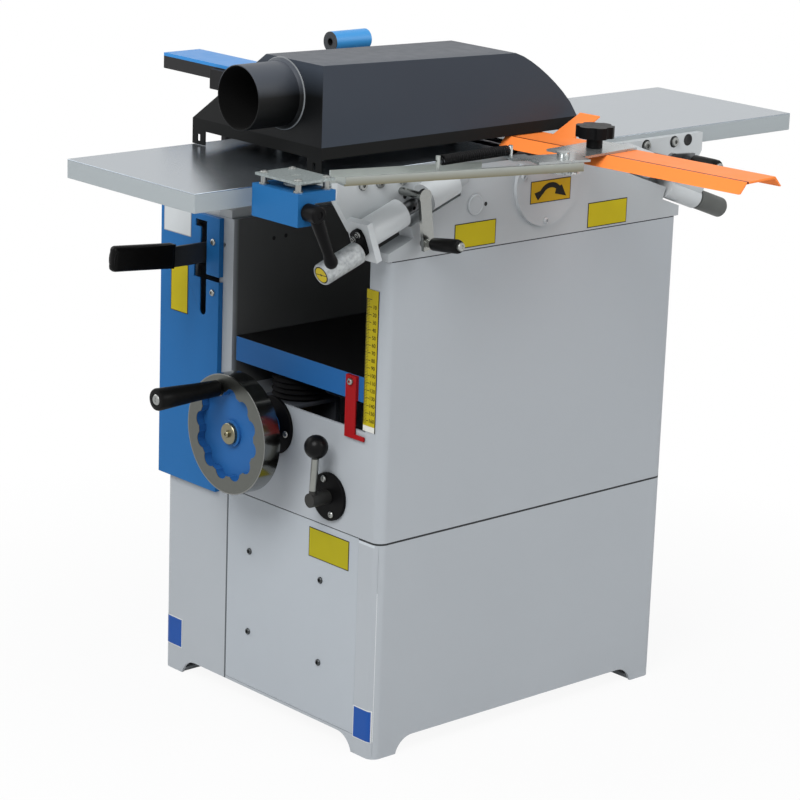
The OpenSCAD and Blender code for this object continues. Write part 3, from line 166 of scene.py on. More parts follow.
# Lower cabinet: a folded and welded steel box on four corner feet, arched between them.
# Powder coated light grey, with the faint orange peel of the coat; its top flange carries a
# painted highlight, a pale strip under the seam, and the drive side's sheet ends in a joint on the front.
class Wire:
    # one output of a finish's nodes, joined to others by ordinary arithmetic
    def __init__(self, finish, socket):
        self.finish = finish
        self.socket = socket

    def math(self, operation, *others):
        sockets = dict(enumerate((self,) + others))
        return self.finish.node("ShaderNodeMath", {"operation": operation}, sockets)

    def __add__(self, other):
        return self.math("ADD", other)

    def __sub__(self, other):
        return self.math("SUBTRACT", other)

    def __rsub__(self, other):
        return self.finish.node("ShaderNodeMath", {"operation": "SUBTRACT"}, {0: other, 1: self})

    def __mul__(self, other):
        return self.math("MULTIPLY", other)

    def __truediv__(self, other):
        return self.math("DIVIDE", other)

    def __gt__(self, other):
        return self.math("GREATER_THAN", other)

    def __lt__(self, other):
        return self.math("LESS_THAN", other)

    def __abs__(self):
        return self.math("ABSOLUTE")


def linear(red, green, blue):
    # a colour read as 0 to 255 turned into the shader's own scale
    out = []
    for part in (red, green, blue):
        part = part / 255
        out.append(part / 12.92 if part < 0.04045 else ((part + 0.055) / 1.055) ** 2.4)
    return (out[0], out[1], out[2], 1)


def tone(colour, factor):
    # a colour made darker or lighter
    return (colour[0] * factor, colour[1] * factor, colour[2] * factor, 1)


class Finish:
    # one material: a shader with constant sockets, and nodes for what varies
    def __init__(self, name, colour, roughness, metallic=0.0, **constants):
        self.material = bpy.data.materials.new(name)
        self.material.use_nodes = True
        self.tree = self.material.node_tree
        self.shader = self.tree.nodes["Principled BSDF"]
        self.colour = linear(*colour)
        self.shader.inputs["Base Color"].default_value = self.colour
        self.shader.inputs["Roughness"].default_value = roughness
        self.shader.inputs["Metallic"].default_value = metallic
        for socket, value in constants.items():
            self.shader.inputs[socket.replace("_", " ")].default_value = value

    def node(self, kind, settings, sockets, out=0):
        made = self.tree.nodes.new(kind)
        for key, value in settings.items():
            setattr(made, key, value)
        for key, value in sockets.items():
            if isinstance(value, Wire):
                self.tree.links.new(value.socket, made.inputs[key])
            else:
                made.inputs[key].default_value = value
        return Wire(self, made.outputs[out])

    def spot(self):
        return self.node("ShaderNodeTexCoord", {}, {}, "Object")

    def xyz(self):
        split = self.tree.nodes.new("ShaderNodeSeparateXYZ")
        self.tree.links.new(self.spot().socket, split.inputs[0])
        return [Wire(self, split.outputs[k]) for k in range(3)]

    def noise(self, scale, detail, stretch=(1, 1, 1)):
        spot = self.node("ShaderNodeMapping", {}, {"Vector": self.spot(), "Scale": stretch})
        sockets = {"Vector": spot, "Scale": scale, "Detail": detail}
        return self.node("ShaderNodeTexNoise", {}, sockets, "Fac")

    def ramp(self, wire, low, high):
        # rises from nought to one between two values
        return self.node("ShaderNodeMapRange", {}, {"Value": wire, "From Min": low, "From Max": high})

    def mix(self, share, first, second):
        return self.node("ShaderNodeMix", {"data_type": "RGBA"}, {0: share, 6: first, 7: second}, 2)

    def feed(self, socket, wire):
        self.tree.links.new(wire.socket, self.shader.inputs[socket])

    def mottle(self, share, darker, lighter):
        # lets the colour drift between two tones of itself
        self.feed("Base Color", self.mix(share, tone(self.colour, darker), tone(self.colour, lighter)))

    def now(self, socket):
        # what a socket holds so far: its link, or its constant
        if self.shader.inputs[socket].links:
            return Wire(self, self.shader.inputs[socket].links[0].from_socket)
        return self.shader.inputs[socket].default_value

    def paint(self, mask, colour, roughness=None, metallic=None):
        # lays another colour over the part of the surface that the mask marks
        self.feed("Base Color", self.mix(mask, self.now("Base Color"), linear(*colour)))
        if roughness is not None:
            self.feed("Roughness", (1 - mask) * self.now("Roughness") + mask * roughness)
        if metallic is not None:
            self.feed("Metallic", (1 - mask) * self.now("Metallic") + mask * metallic)

    def relief(self, height, strength, distance):
        sockets = {"Strength": strength, "Distance": distance, "Height": height}
        self.feed("Normal", self.node("ShaderNodeBump", {}, sockets))


def powder_coat(name, colour, roughness=0.5, level=0.3):
    look = Finish(name, colour, roughness, Specular_IOR_Level=level)
    look.mottle(look.noise(3.2, 4), 0.95, 1.05)
    look.feed("Roughness", look.noise(60, 3) * 0.12 + (roughness - 0.06))
    look.relief(look.noise(850, 2), 0.05, 0.0004)
    return look


def wear(node, look, edge=0.0):
    # puts a finish on a CAD piece, and rounds its edges a little where the sheet is folded
    piece = cad[node]
    piece.data.materials.clear()
    piece.data.materials.append(look.material)
    if edge:
        weld = piece.modifiers.new("weld", "WELD")
        weld.merge_threshold = 0.00002
        bevel = piece.modifiers.new("edge", "BEVEL")
        bevel.width = edge
        bevel.segments = 2
        bevel.limit_method = "ANGLE"
        bevel.angle_limit = math.radians(40)
        even = piece.modifiers.new("even", "WEIGHTED_NORMAL")
        even.weight = 80


grey_coat = powder_coat("grey_powder_coat", (165, 170, 175))
x, y, z = grey_coat.xyz()
front_sheet, flange_highlight_z, seam_z = -0.2664, 0.2935, 0.2974
side_joint, joint_half = 0.0862, 0.0016
dark_gap = (34, 36, 38)
# painted highlight: the top flange is painted paler than the coat, as a lit strip under the seam
grey_coat.paint((z > flange_highlight_z) * (x < front_sheet), (188, 194, 199))
joint = abs(y - side_joint) * (1 / joint_half) + (x > front_sheet) + (z > 0.2975) < 1
grey_coat.paint(joint, (84, 89, 93))
grey_coat.paint(z > seam_z, dark_gap)
wear("lower_cabinet", grey_coat, 0.0012)

# Front cover of the drive: a flat sheet let into the lower cabinet, held by four screws.
# Same coat as the cabinet, with crisp edges that leave a dark joint line.
cover_coat = powder_coat("grey_cover_coat", (167, 173, 179))
wear("front_cover", cover_coat, 0.0006)


# Upper cabinet: the welded body with the throat of the thicknesser and the drive column.
# Same light grey coat; the inside of the throat is darkened with painted shade from just inside its front
# edge.
def gap_square(first, a, second, b):
    # the squared distance from a line along the third axis
    return (first - a) * (first - a) + (second - b) * (second - b)


body_coat = powder_coat("grey_body_coat", (164, 169, 174))
x, y, z = body_coat.xyz()
near_wall, far_wall, far_face, sill = -0.1925, 0.0845, 0.0838, 0.4440
drill_square, face_skin = 0.0000080, 0.0006
throat_shade = body_coat.ramp(x, -0.2672, -0.2580)
# painted shade: the throat's inner walls turn dark grey a little behind the front edge
body_coat.paint((y > near_wall) * (y < far_wall) * (z > sill) * throat_shade, (86, 87, 87), 0.6)
hole = abs(y - far_face) * (1 / face_skin) < 1
for a, b in ((-0.198, 0.6406), (-0.177, 0.6416)):
    body_coat.paint((gap_square(x, a, z, b) < drill_square) * hole, (14, 14, 15))
body_coat.paint((z < 0.3001) + (z > 0.6730) * (y < -0.2236) > 0.5, dark_gap)
wear("upper_cabinet", body_coat, 0.0012)


# Gate panel: a blue enamelled tray screwed to the column, with the stepped slot of the
# feed lever cut in from its inner edge.
def enamel(name, colour, roughness=0.42, level=0.1):
    look = Finish(name, colour, roughness, Specular_IOR_Level=level)
    look.mottle(look.noise(6, 4), 0.92, 1.07)
    look.feed("Roughness", look.noise(45, 3) * 0.14 + (roughness - 0.07))
    look.relief(look.noise(420, 3), 0.08, 0.0005)
    return look


blue_gate = enamel("blue_gate_enamel", (34, 99, 158))
wear("gate_panel", blue_gate, 0.0008)

# Castings under the tables: two grey painted side castings with notched ends, bolted on the
# cabinet. They hold the cutter bearings, the slide shafts and the feed rollers.
cast_coat = powder_coat("grey_casting_coat", (166, 170, 173), 0.5)
cast_coat.relief(cast_coat.noise(240, 5), 0.1, 0.0008)
x, y, z = cast_coat.xyz()
bolt_hole = (gap_square(x, -0.1016, z, 0.7314) < drill_square) * (y < -0.2244)
cast_coat.paint(bolt_hole, (16, 16, 17))
cast_coat.paint(z < 0.6744, (40, 42, 44))
for node in ("near_casting", "far_casting", "bearing_cover", "belt_cover"):
    wear(node, cast_coat, 0.0012)


# Slide shafts, pins, cutter, rollers and bearings: turned and ground steel. The four slide
# shafts sit in bosses of the castings and are dark with oil.
def turned_steel(name, colour, roughness, lines=(1, 1, 1), metallic=1.0):
    look = Finish(name, colour, roughness, metallic, Specular_IOR_Level=0.1)
    streak = look.noise(160, 4, lines)
    look.mottle(streak, 0.9, 1.08)
    look.feed("Roughness", streak * 0.12 + (roughness - 0.06))
    look.relief(streak, 0.04, 0.0003)
    return look


oiled = turned_steel("oiled_shaft_steel", (84, 86, 88), 0.34, (4, 0.4, 4))
wear("slide_shafts", oiled, 0.0006)
ground = turned_steel("ground_steel", (128, 130, 133), 0.34, (6, 0.3, 6))
steel_nodes = ["cutter_block", "cutter_knives", "cutter_bearings", "exit_roller", "entry_roller"]
steel_nodes += ["fixed_pins", "motor_pulley"]
for node in steel_nodes:
    wear(node, ground)
comb_steel = turned_steel("comb_steel", (118, 104, 74), 0.4)
wear("fingers", comb_steel)


# Tables: long alloy castings, ground on top and finished silver grey, so that they mirror
# the hood softly. Ribbed below and bolted to brackets that run on the slide shafts.
def ground_alloy(name, colour, roughness):
    look = Finish(name, colour, roughness, 0.92, Specular_IOR_Level=0.45)
    passes = look.noise(26, 4, (0.5, 12, 9))
    cloud = look.noise(5, 4)
    look.mottle(passes * 0.5 + cloud * 0.5, 0.94, 1.05)
    look.feed("Roughness", passes * 0.05 + cloud * 0.06 + (roughness - 0.055))
    look.relief(passes, 0.012, 0.0002)
    return look


table_alloy = ground_alloy("ground_table_alloy", (152, 160, 167), 0.24)
x, y, z = table_alloy.xyz()
table_alloy.paint(z < 0.7845, (156, 163, 166), 0.45, 0.3)
wear("infeed_table", table_alloy, 0.0016)
wear("outfeed_table", table_alloy, 0.0016)

# Brackets under the tables: cast alloy plates with the bosses that slide on the shafts.
# Painted light grey like the castings, with socket screws into the table's edge.
bracket_coat = powder_coat("bracket_coat", (186, 190, 192), 0.42, 0.4)
bracket_coat.relief(bracket_coat.noise(300, 4), 0.07, 0.0006)
x, y, z = bracket_coat.xyz()
plate_skin = (y < -0.1966) * (y > -0.1975)
oil_square = 0.0000100
bracket_coat.paint((gap_square(x, -0.2175, z, 0.7488) < oil_square) * plate_skin, (18, 18, 19))
wear("infeed_saddle", bracket_coat, 0.0016)
wear("outfeed_saddle", bracket_coat, 0.0016)


def only(piece):
    # selects one piece and makes it the active one
    bpy.ops.object.select_all(action="DESELECT")
    piece.hide_set(False)
    piece.select_set(True)
    bpy.context.view_layer.objects.active = piece


def firm(piece):
    # applies a piece's modifiers and its place
    only(piece)
    for name in [m.name for m in piece.modifiers]:
        bpy.ops.object.modifier_apply(modifier=name)
    bpy.ops.object.transform_apply(location=True, rotation=True, scale=True)


def settle(piece, body, look, smooth=35):
    # makes the piece firm, shades and paints it, and lets it ride
    firm(piece)
    bpy.ops.object.shade_smooth_by_angle(angle=math.radians(smooth))
    piece.data.materials.clear()
    piece.data.materials.append(look.material)
    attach(piece, body)
    return piece


def turn(name, stations, sides, bore=0.0):
    # turns a round piece along +Z from (height, radius) pairs in millimetres
    bpy.ops.object.select_all(action="DESELECT")
    z0, r0 = stations[0]
    low_end = (0, 0, z0 / 1000)
    bpy.ops.mesh.primitive_circle_add(vertices=sides, radius=r0 / 1000, fill_type="NGON", location=low_end)
    piece = bpy.context.active_object
    piece.name = piece.data.name = name
    bpy.ops.object.transform_apply(location=True, rotation=False, scale=False)
    bpy.ops.object.mode_set(mode="EDIT")
    bpy.ops.mesh.select_all(action="SELECT")
    path = list(stations[1:])
    if bore:
        path += [(stations[-1][0], bore), (z0, bore)]
    z, r = z0, r0
    for z1, r1 in path:
        bpy.ops.mesh.extrude_region_move(TRANSFORM_OT_translate={"value": (0, 0, (z1 - z) / 1000)})
        bpy.ops.transform.resize(value=(r1 / r, r1 / r, 1), center_override=(0, 0, z1 / 1000))
        z, r = z1, r1
    if bore:
        bpy.ops.mesh.delete(type="ONLY_FACE")
        bpy.ops.mesh.select_all(action="DESELECT")
        bpy.ops.object.mode_set(mode="OBJECT")
        for face in piece.data.polygons:
            face.select = len(face.vertices) == sides
        bpy.ops.object.mode_set(mode="EDIT")
        bpy.ops.mesh.delete(type="ONLY_FACE")
        bpy.ops.mesh.select_all(action="DESELECT")
        bpy.ops.mesh.select_non_manifold(
            extend=False,
            use_wire=False,
            use_boundary=True,
            use_multi_face=False,
            use_non_contiguous=False,
            use_verts=False,
        )
        bpy.ops.mesh.bridge_edge_loops()
    bpy.ops.mesh.select_all(action="SELECT")
    bpy.ops.mesh.normals_make_consistent(inside=False)
    bpy.ops.object.mode_set(mode="OBJECT")
    return piece


def stand_at(piece, spot, along):
    # turns a piece made along +Z to look along a direction, and moves it to a spot in millimetres
    piece.rotation_mode = "QUATERNION"
    piece.rotation_quaternion = Vector(along).to_track_quat("Z", "Y")
    piece.location = [v / 1000 for v in spot]
    only(piece)
    bpy.ops.object.transform_apply(location=True, rotation=True, scale=True)
    return piece


def join(pieces, name):
    # joins pieces into the first of them
    bpy.ops.object.select_all(action="DESELECT")
    for piece in pieces:
        piece.select_set(True)
    bpy.context.view_layer.objects.active = pieces[0]
    bpy.ops.object.join()
    piece = bpy.context.active_object
    piece.name = piece.data.name = name
    return piece


def copies(name, first, spots, along):
    # copies a piece to each spot, each with its own mesh, and joins the copies into one piece
    made = []
    for spot in spots:
        twin = first.copy()
        twin.data = first.data.copy()
        scene.collection.objects.link(twin)
        made.append(stand_at(twin, spot, along))
    bpy.data.objects.remove(first)
    return join(made, name)


def turned_one(name, form, sides, spot, along, body, look, bore=0.0):
    # one turned piece at its place
    return settle(stand_at(turn(name, form, sides, bore), spot, along), body, look)


def turned_set(name, form, sides, spots, along, body, look, bore=0.0):
    # equal turned pieces at several places, joined into one piece
    first = turn(name + "_first", form, sides, bore)
    return settle(copies(name, first, spots, along), body, look)


zinc_bolt = turned_steel("zinc_bolt_steel", (150, 152, 150), 0.3)
black_bolt = turned_steel("black_bolt_steel", (46, 46, 47), 0.4)
to_front, to_near, to_far = (-1, 0, 0), (0, -1, 0), (0, 1, 0)
plate_y, screw_z = -197, 771
socket_head = [(0, 6.4), (3.2, 6.4), (4, 5.6), (4, 2.7), (1.2, 2.5)]
spots = [(a, plate_y, screw_z) for a in (-290, -261, -222)]
bolts = turned_set("infeed_socket_screws", socket_head, 24, spots, to_near, "infeed", zinc_bolt)
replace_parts(bolts, "infeed_bolts")
spots = [(a, plate_y, screw_z) for a in (225, 281)]
bolts = turned_set("outfeed_socket_screws", socket_head, 24, spots, to_near, "outfeed", zinc_bolt)
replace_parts(bolts, "outfeed_bolts")
# painted shade: thin dark discs round the screws, and one without a screw, stand for the shaded
# counterbores
recess = [(0, 8.2), (0.25, 8.2), (0.4, 8.0), (0.4, 5.0), (0.3, 4.8)]
spots.append((309, plate_y, screw_z))
turned_set("outfeed_screw_recesses", recess, 32, spots, to_near, "outfeed", black_bolt)

# Screws of the frame: small domed heads with hex sockets on the cover, the gate, the
# flanges and the bearing cover, and the round plug beside the infeed slide.
head = [(0, 4.6), (1.0, 4.6), (2.0, 3.9), (2.5, 2.8), (2.5, 2.2), (0.9, 2.0)]
sheet_x, flange_x, gate_x = -267.5, -272.5, -275.5
cast_y, disc_y = -225, -230.5
cover_steel = turned_steel("cover_screw_steel", (70, 73, 74), 0.16)
spots = [(sheet_x, a, b) for a in (-112, 37) for b in (105, 221)]
domes = turned_set("frame_screw_heads", head, 24, spots, to_front, "stand", cover_steel)
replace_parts(domes, "frame_screws")
spots = [(flange_x, a, b) for a, b in ((-118.8, 364.6), (-135.2, 319.4), (-39, 406))]
spots += [(gate_x, 118, b) for b in (638, 568)]
turned_set("flange_screws", head, 24, spots, to_front, "stand", zinc_bolt)
spots = [(a, disc_y, b) for a, b in ((48.2, 761.3), (-40.2, 761.3), (4, 698.2))]
turned_set("bearing_cover_screws", head, 24, spots, to_near, "stand", cast_coat)
plug = [(0, 13.6), (2.4, 13.6), (3.2, 12.8), (3.2, 11.4), (2.6, 11.0)]
turned_one("slide_plug", plug, 48, (-121, cast_y, 732.5), to_near, "stand", cast_coat)

# Depth scale: a yellow enamelled strip on the front of the near wall, with printed marks each
# two millimetres, longer marks each ten and plain figures, and a white end.
scale_print = Finish("yellow_scale_print", (172, 156, 18), 0.5, Specular_IOR_Level=0.15)
x, y, z = scale_print.xyz()
scale_top = 0.622
depth = scale_top - z
small = (depth / 0.002).math("FRACT")
long = (depth / 0.01).math("FRACT")
within = (depth > -0.0005) * (depth < 0.1645)
edge_line = abs(y + 0.1893) < 0.0004
mark = ((small < 0.3) * (y > -0.1945) + (long < 0.09) * (y > -0.1985) + edge_line) * within
scale_print.mottle(scale_print.noise(20, 3), 0.93, 1.06)
scale_print.paint(z < 0.4545, (206, 206, 200))
scale_print.paint((mark > 0.5) + (abs(y + 0.1995) > 0.0110) > 0.5, (26, 22, 12))
scale_print.feed("Roughness", scale_print.noise(70, 3) * 0.16 + 0.42)
scale_print.relief(scale_print.noise(500, 2), 0.03, 0.0003)
wear("scale_plate", scale_print)
figure_ink = Finish("printed_ink", (20, 17, 11), 0.55, Specular_IOR_Level=0.1)
speckle = figure_ink.noise(300, 3)
figure_ink.feed("Base Color", figure_ink.mix(speckle, linear(12, 10, 7), linear(30, 26, 18)))
figure_ink.feed("Roughness", figure_ink.noise(200, 2) * 0.2 + 0.45)
figure_ink.relief(figure_ink.noise(900, 2), 0.05, 0.0002)
figures = []
for tens in range(1, 17):
    bpy.ops.object.select_all(action="DESELECT")
    bpy.ops.object.text_add()
    figure = bpy.context.active_object
    figure.data.body = str(tens * 10)
    figure.data.size = 0.0072
    figure.data.align_x = "CENTER"
    figure.data.align_y = "CENTER"
    figure.data.extrude = 0.00008
    bpy.ops.object.convert(target="MESH")
    figure.rotation_euler = (math.pi / 2, 0, -math.pi / 2)
    figure.location = (-0.26884, -0.2042, scale_top - tens * 0.01)
    bpy.ops.object.transform_apply(location=True, rotation=True, scale=True)
    figures.append(figure)
settle(join(figures, "scale_figures"), "stand", figure_ink)


# Signs: thin enamelled plates stuck on the cabinet and castings. All are left bare but for a
# thin border, and the one on the bearing cover keeps a plain arrow for the cutter's turn.
def slab(name, low, high, edge, segments=3):
    # a plate between two corners in millimetres, with rounded edges
    bpy.ops.object.select_all(action="DESELECT")
    middle = [(a + b) / 2000 for a, b in zip(low, high)]
    bpy.ops.mesh.primitive_cube_add(size=1, location=middle)
    piece = bpy.context.active_object
    piece.name = piece.data.name = name
    piece.scale = [(b - a) / 1000 for a, b in zip(low, high)]
    bpy.ops.object.transform_apply(location=False, rotation=False, scale=True)
    bevel = piece.modifiers.new("edge", "BEVEL")
    bevel.width = edge / 1000
    bevel.segments = segments
    bevel.limit_method = "NONE"
    return piece


def sign_print(name, colour, border, centre, half, flat):
    # a bare sign with a thin line round it; flat is the axis it faces along
    look = Finish(name, colour, 0.5, Specular_IOR_Level=0.15)
    axes = look.xyz()
    first, second = [axes[k] for k in range(3) if k != flat]
    c1, c2 = [centre[k] / 1000 for k in range(3) if k != flat]
    h1, h2 = [h / 1000 - 0.0012 for h in half]
    line = (abs(first - c1) > h1) + (abs(second - c2) > h2)
    look.mottle(look.noise(25, 3), 0.93, 1.06)
    look.paint(line > 0.5, border)
    look.feed("Roughness", look.noise(60, 3) * 0.16 + 0.42)
    look.relief(look.noise(400, 2), 0.03, 0.0003)
    return look


def drawn(name, points, closed, **settings):
    # a curve through points in millimetres, turned into a mesh
    curve = bpy.data.curves.new(name, "CURVE")
    for key, value in settings.items():
        setattr(curve, key, value)
    line = curve.splines.new("POLY")
    line.points.add(len(points) - 1)
    for point, spot in zip(line.points, points):
        point.co = (*[v / 1000 for v in spot], 1)
    line.use_cyclic_u = closed
    piece = bpy.data.objects.new(name, curve)
    scene.collection.objects.link(piece)
    only(piece)
    bpy.ops.object.convert(target="MESH")
    return piece


def arc(across, tall, steps):
    # points of the arrow's bow, part of an ellipse, in millimetres
    angles = [math.radians(150 - step * 9) for step in steps]
    return [(10 + across * math.cos(a), 730 + tall * math.sin(a), 0) for a in angles]


yellow, ink, pale, blue = (184, 167, 16), (40, 36, 20), (204, 206, 204), (30, 76, 150)
sheet_out, gate_out, cast_out, disc_out = sheet_x - 0.5, gate_x - 0.5, cast_y - 0.5, disc_y - 0.5
bend_from, bend_r = 0.211, 0.014
for name, low, high, flat, colour, border in (
    ("cover_sign", (sheet_out, -168, 249), (sheet_x, -87, 290), 0, (162, 152, 14), ink),
    ("gate_sign", (gate_out, 171, 527), (gate_x, 209, 596), 0, yellow, ink),
    ("gate_plate", (gate_out, 166, 636), (gate_x, 226, 671), 0, (196, 200, 202), (150, 154, 158)),
    ("infeed_sign", (-155, cast_out, 677), (-82, cast_y, 710), 1, yellow, ink),
    ("outfeed_sign", (88, cast_out, 677), (163, cast_y, 711), 1, yellow, ink),
    ("turn_sign", (-27, disc_out, 723), (47, disc_y, 753), 1, (172, 138, 12), ink),
    ("foot_sign_far", (sheet_out, 183, 36), (sheet_x, 219, 79), 0, blue, pale),
    ("foot_sign_near", (sheet_out, -220, 23), (sheet_x, -186, 68), 0, blue, pale),
):
    centre = [(a + b) / 2 for a, b in zip(low, high)]
    half = [(high[k] - low[k]) / 2 for k in range(3) if k != flat]
    sign = slab(name, low, high, 0.15, 1)
    if name.startswith("foot"):
        # these two bend round the cabinet's corner
        firm(sign)
        bpy.ops.object.mode_set(mode="EDIT")
        bpy.ops.mesh.select_all(action="SELECT")
        bpy.ops.mesh.subdivide(number_cuts=10)
        bpy.ops.object.mode_set(mode="OBJECT")
        for point in sign.data.vertices:
            past = max(0, abs(point.co.y) - bend_from)
            point.co.x += bend_r - math.sqrt(bend_r * bend_r - past * past)
    look = sign_print(name + "_print", colour, border, centre, half, flat)
    settle(sign, "stand", look)
outline = arc(22, 19, range(13)) + [(30, 744, 0), (39, 728, 0), (18, 733, 0)]
outline += arc(15, 12, range(11, -1, -1)) + [(-13, 727, 0), (-16, 731, 0), (-20, 737, 0)]
arrow = drawn("turn_arrow", outline, True, dimensions="2D", fill_mode="BOTH", extrude=0.0001)
arrow.rotation_euler = (math.pi / 2, 0, 0)
arrow.location = (0, -0.23108, 0)
settle(arrow, "stand", figure_ink)


# Flanges behind the handwheel and the lock lever: black moulded discs screwed on the front.
# Fine grained plastic, also used for the grips and the keeper plate of the adjuster.
def moulded(name, colour, roughness=0.42, level=0.07):
    look = Finish(name, colour, roughness, Specular_IOR_Level=level)
    look.mottle(look.noise(18, 3), 0.8, 1.3)
    look.feed("Roughness", look.noise(120, 3) * 0.2 + (roughness - 0.1))
    look.relief(look.noise(1500, 2), 0.12, 0.0003)
    return look


black_plastic = moulded("black_moulding", (7, 7, 8), 0.5)
wear("front_flanges", black_plastic, 0.0012)
wear("adjuster_plate", black_plastic, 0.001)
wear("switch_box", black_plastic, 0.0025)

# Motor, brackets and column sleeve inside the cabinet: castings in dark machine paint.
# They are bolted to the cabinet's walls and floor plate.
machine_paint = powder_coat("dark_machine_paint", (60, 63, 68), 0.5)
for node in ("motor", "nut_bracket", "column_sleeve"):
    wear(node, machine_paint, 0.0012)

# Motor bay panel: a pressed sheet over the motor on the far side, with two columns of louvres
# for cooling air and a screw in each corner. The photograph doesn't show this side.
panel = slab("motor_panel", (-165, 225, 58), (165, 226.6, 262), 0.7)
settle(panel, "stand", cover_coat)
slat = slab("panel_slat", (-58, -1.2, -5), (58, 3.4, 5), 2.2, 4)
spots = [(a, 226, 94 + 22 * k) for a in (-78, 78) for k in range(7)]
upward = (0, 0, 1)
settle(copies("motor_panel_louvres", slat, spots, upward), "stand", cover_coat)
spots = [(a, 226.4, b) for a in (-152, 152) for b in (71, 249)]
spots += [(a, 147, b) for a in (-50, 90) for b in (690, 758)]
turned_set("far_side_screws", head, 24, spots, to_far, "stand", black_bolt)

# Belt: a ribbed rubber belt from the motor pulley to the cutter pulley. It runs inside the
# drive column, under the cover on the far casting.
rubber = moulded("belt_rubber", (24, 24, 25), 0.65)
motor_x, motor_z, motor_r = 150, 130, 45
cutter_x, cutter_z, cutter_r = 4, 749.2, 26
axis_gap = math.hypot(cutter_x - motor_x, cutter_z - motor_z)
lean = math.atan2(cutter_x - motor_x, cutter_z - motor_z)
opening = math.asin((motor_r - cutter_r) / axis_gap)
motor_loop, cutter_loop = motor_r + 0.3, cutter_r + 0.3
loop = []
for step in range(25):
    a = opening + step * (math.pi - 2 * opening) / 24
    loop.append((cutter_loop * math.cos(a), axis_gap + cutter_loop * math.sin(a), 0))
for step in range(31):
    a = math.pi - opening + step * (math.pi + 2 * opening) / 30
    loop.append((motor_loop * math.cos(a), motor_loop * math.sin(a), 0))
belt = drawn("drive_belt_loop", loop, True, dimensions="2D", fill_mode="NONE", extrude=0.008)
wall = belt.modifiers.new("wall", "SOLIDIFY")
wall.thickness = 0.004
wall.offset = 1
shift = Matrix.Translation((motor_x / 1000, 0.125, motor_z / 1000))
belt.matrix_world = shift @ Matrix.Rotation(lean, 4, "Y") @ Matrix.Rotation(math.pi / 2, 4, "X")
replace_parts(settle(belt, "stand", rubber), "drive_belt")

# Switch box: a black box on the far side of the column, with a green and a red push button in
# grey bezels. Its cable gland is below.
push_green = moulded("green_button", (18, 112, 42), 0.32)
push_red = moulded("red_button", (168, 22, 20), 0.32)
wear("start_button", push_green, 0.0012)
wear("stop_button", push_red, 0.0018)
bezel = [(0, 16.4), (1.2, 16.4), (2.2, 15.4), (2.2, 13.6)]
bezel_grey = moulded("button_bezel_plastic", (62, 64, 66), 0.4)
spots = [(a, 263, 560) for a in (100, 140)]
turned_set("button_bezels", bezel, 48, spots, to_far, "stand", bezel_grey, 12.6)
lid_screw = [(0, 2.6), (0.9, 2.6), (1.4, 2.0), (1.4, 1.1), (0.6, 1.0)]
spots = [(a, 262.9, b) for a in (83, 157) for b in (528, 592)]
turned_set("switch_lid_screws", lid_screw, 16, spots, to_far, "stand", zinc_bolt)

# Infeed adjuster: a knurled alloy knob on a thin spindle, with a yellow sign in its end.
# It stands square to the flange, in line with the slide; two screws hold its keeper plate.
cos20, sin20 = math.cos(math.radians(20)), math.sin(math.radians(20))
down_slide = (-cos20, 0, -sin20)
knob_s, knob_y, knob_n = -67.5, -2, -15


def on_slide(s, y, n):
    # a point of the infeed slide: s along it, n square to it, in millimetres
    return (-229 + s * cos20 - n * sin20, -216 + y, 738.5 + s * sin20 + n * cos20)


def off_knob(x, y, z):
    # how far a point lies from the knob's axis, sideways and square to the slide
    return y + 0.218, (z - 0.7385) * cos20 - (x + 0.229) * sin20 + 0.015


knurl = Finish("knurled_alloy", (168, 172, 173), 0.42, 0.5)
x, y, z = knurl.xyz()
run = x * cos20 + z * sin20
off_y, off_n = off_knob(x, y, z)
angle = off_y.math("ARCTAN2", off_n)
diamonds = (angle * 40 + run * 2800).math("SINE") * (angle * 40 - run * 2800).math("SINE")
knurl.relief(diamonds, 0.4, 0.0006)
blotch = knurl.noise(170, 5) * 1.6 - 0.3 + diamonds * 0.12
knurl.feed("Base Color", knurl.mix(blotch, linear(122, 126, 128), linear(192, 196, 197)))
knurl.feed("Roughness", knurl.noise(90, 3) * 0.2 + 0.3)
form = [(0, 3), (26, 3), (26, 12.6), (28, 14.5), (88, 14.5), (90, 13.4), (90, 11.8), (89.2, 11.4)]
spot = on_slide(knob_s, knob_y, knob_n)
knob = turned_one("infeed_adjuster_knob", form, 48, spot, down_slide, "infeed_adjuster", knurl)
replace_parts(knob, "infeed_knob")
dial_print = Finish("adjuster_dial_print", (190, 168, 26), 0.45, Specular_IOR_Level=0.15)
dial_print.mottle(dial_print.noise(150, 3), 0.9, 1.06)
off_y, off_n = off_knob(*dial_print.xyz())
radial = off_y * off_y + off_n * off_n
lines = (radial > 0.0098 * 0.0098) + (radial < 0.0017 * 0.0017) + (abs(off_n) < 0.0006)
dial_print.paint(lines > 0.5, (46, 40, 18))
dial_print.feed("Roughness", dial_print.noise(90, 3) * 0.16 + 0.37)
dial_print.relief(dial_print.noise(500, 2), 0.04, 0.0003)
form = [(0, 11.3), (0.6, 11.3), (0.9, 10.9)]
spot = on_slide(knob_s - 89.2, knob_y, knob_n)
turned_one("adjuster_dial", form, 40, spot, down_slide, "infeed_adjuster", dial_print)
form = [(0, 4.4), (1.4, 4.4), (2.6, 3.7), (3.2, 2.4), (3.2, 1.9), (1.6, 1.7)]
spots = [on_slide(-87.5, -2, 6), on_slide(-87.5, 9, -2)]
turned_set("keeper_screws", form, 20, spots, down_slide, "infeed", zinc_bolt)

# Outfeed adjuster: a dark grey moulded cap on the outfeed bracket's lower boss.
# It turns the fine setting screw of the outfeed table.
dark_cap = moulded("dark_cap_plastic", (92, 94, 92), 0.45)
form = [(0, 3), (18, 3), (18, 13), (19, 14), (72, 14), (74, 12.6), (74.6, 10)]
a, b, c = on_slide(-64.5, -2, -19)
spot, along = (8 - a, b, c), (cos20, 0, -sin20)
cap = turned_one("outfeed_adjuster_cap", form, 48, spot, along, "outfeed_adjuster", dark_cap)
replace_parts(cap, "outfeed_knob")

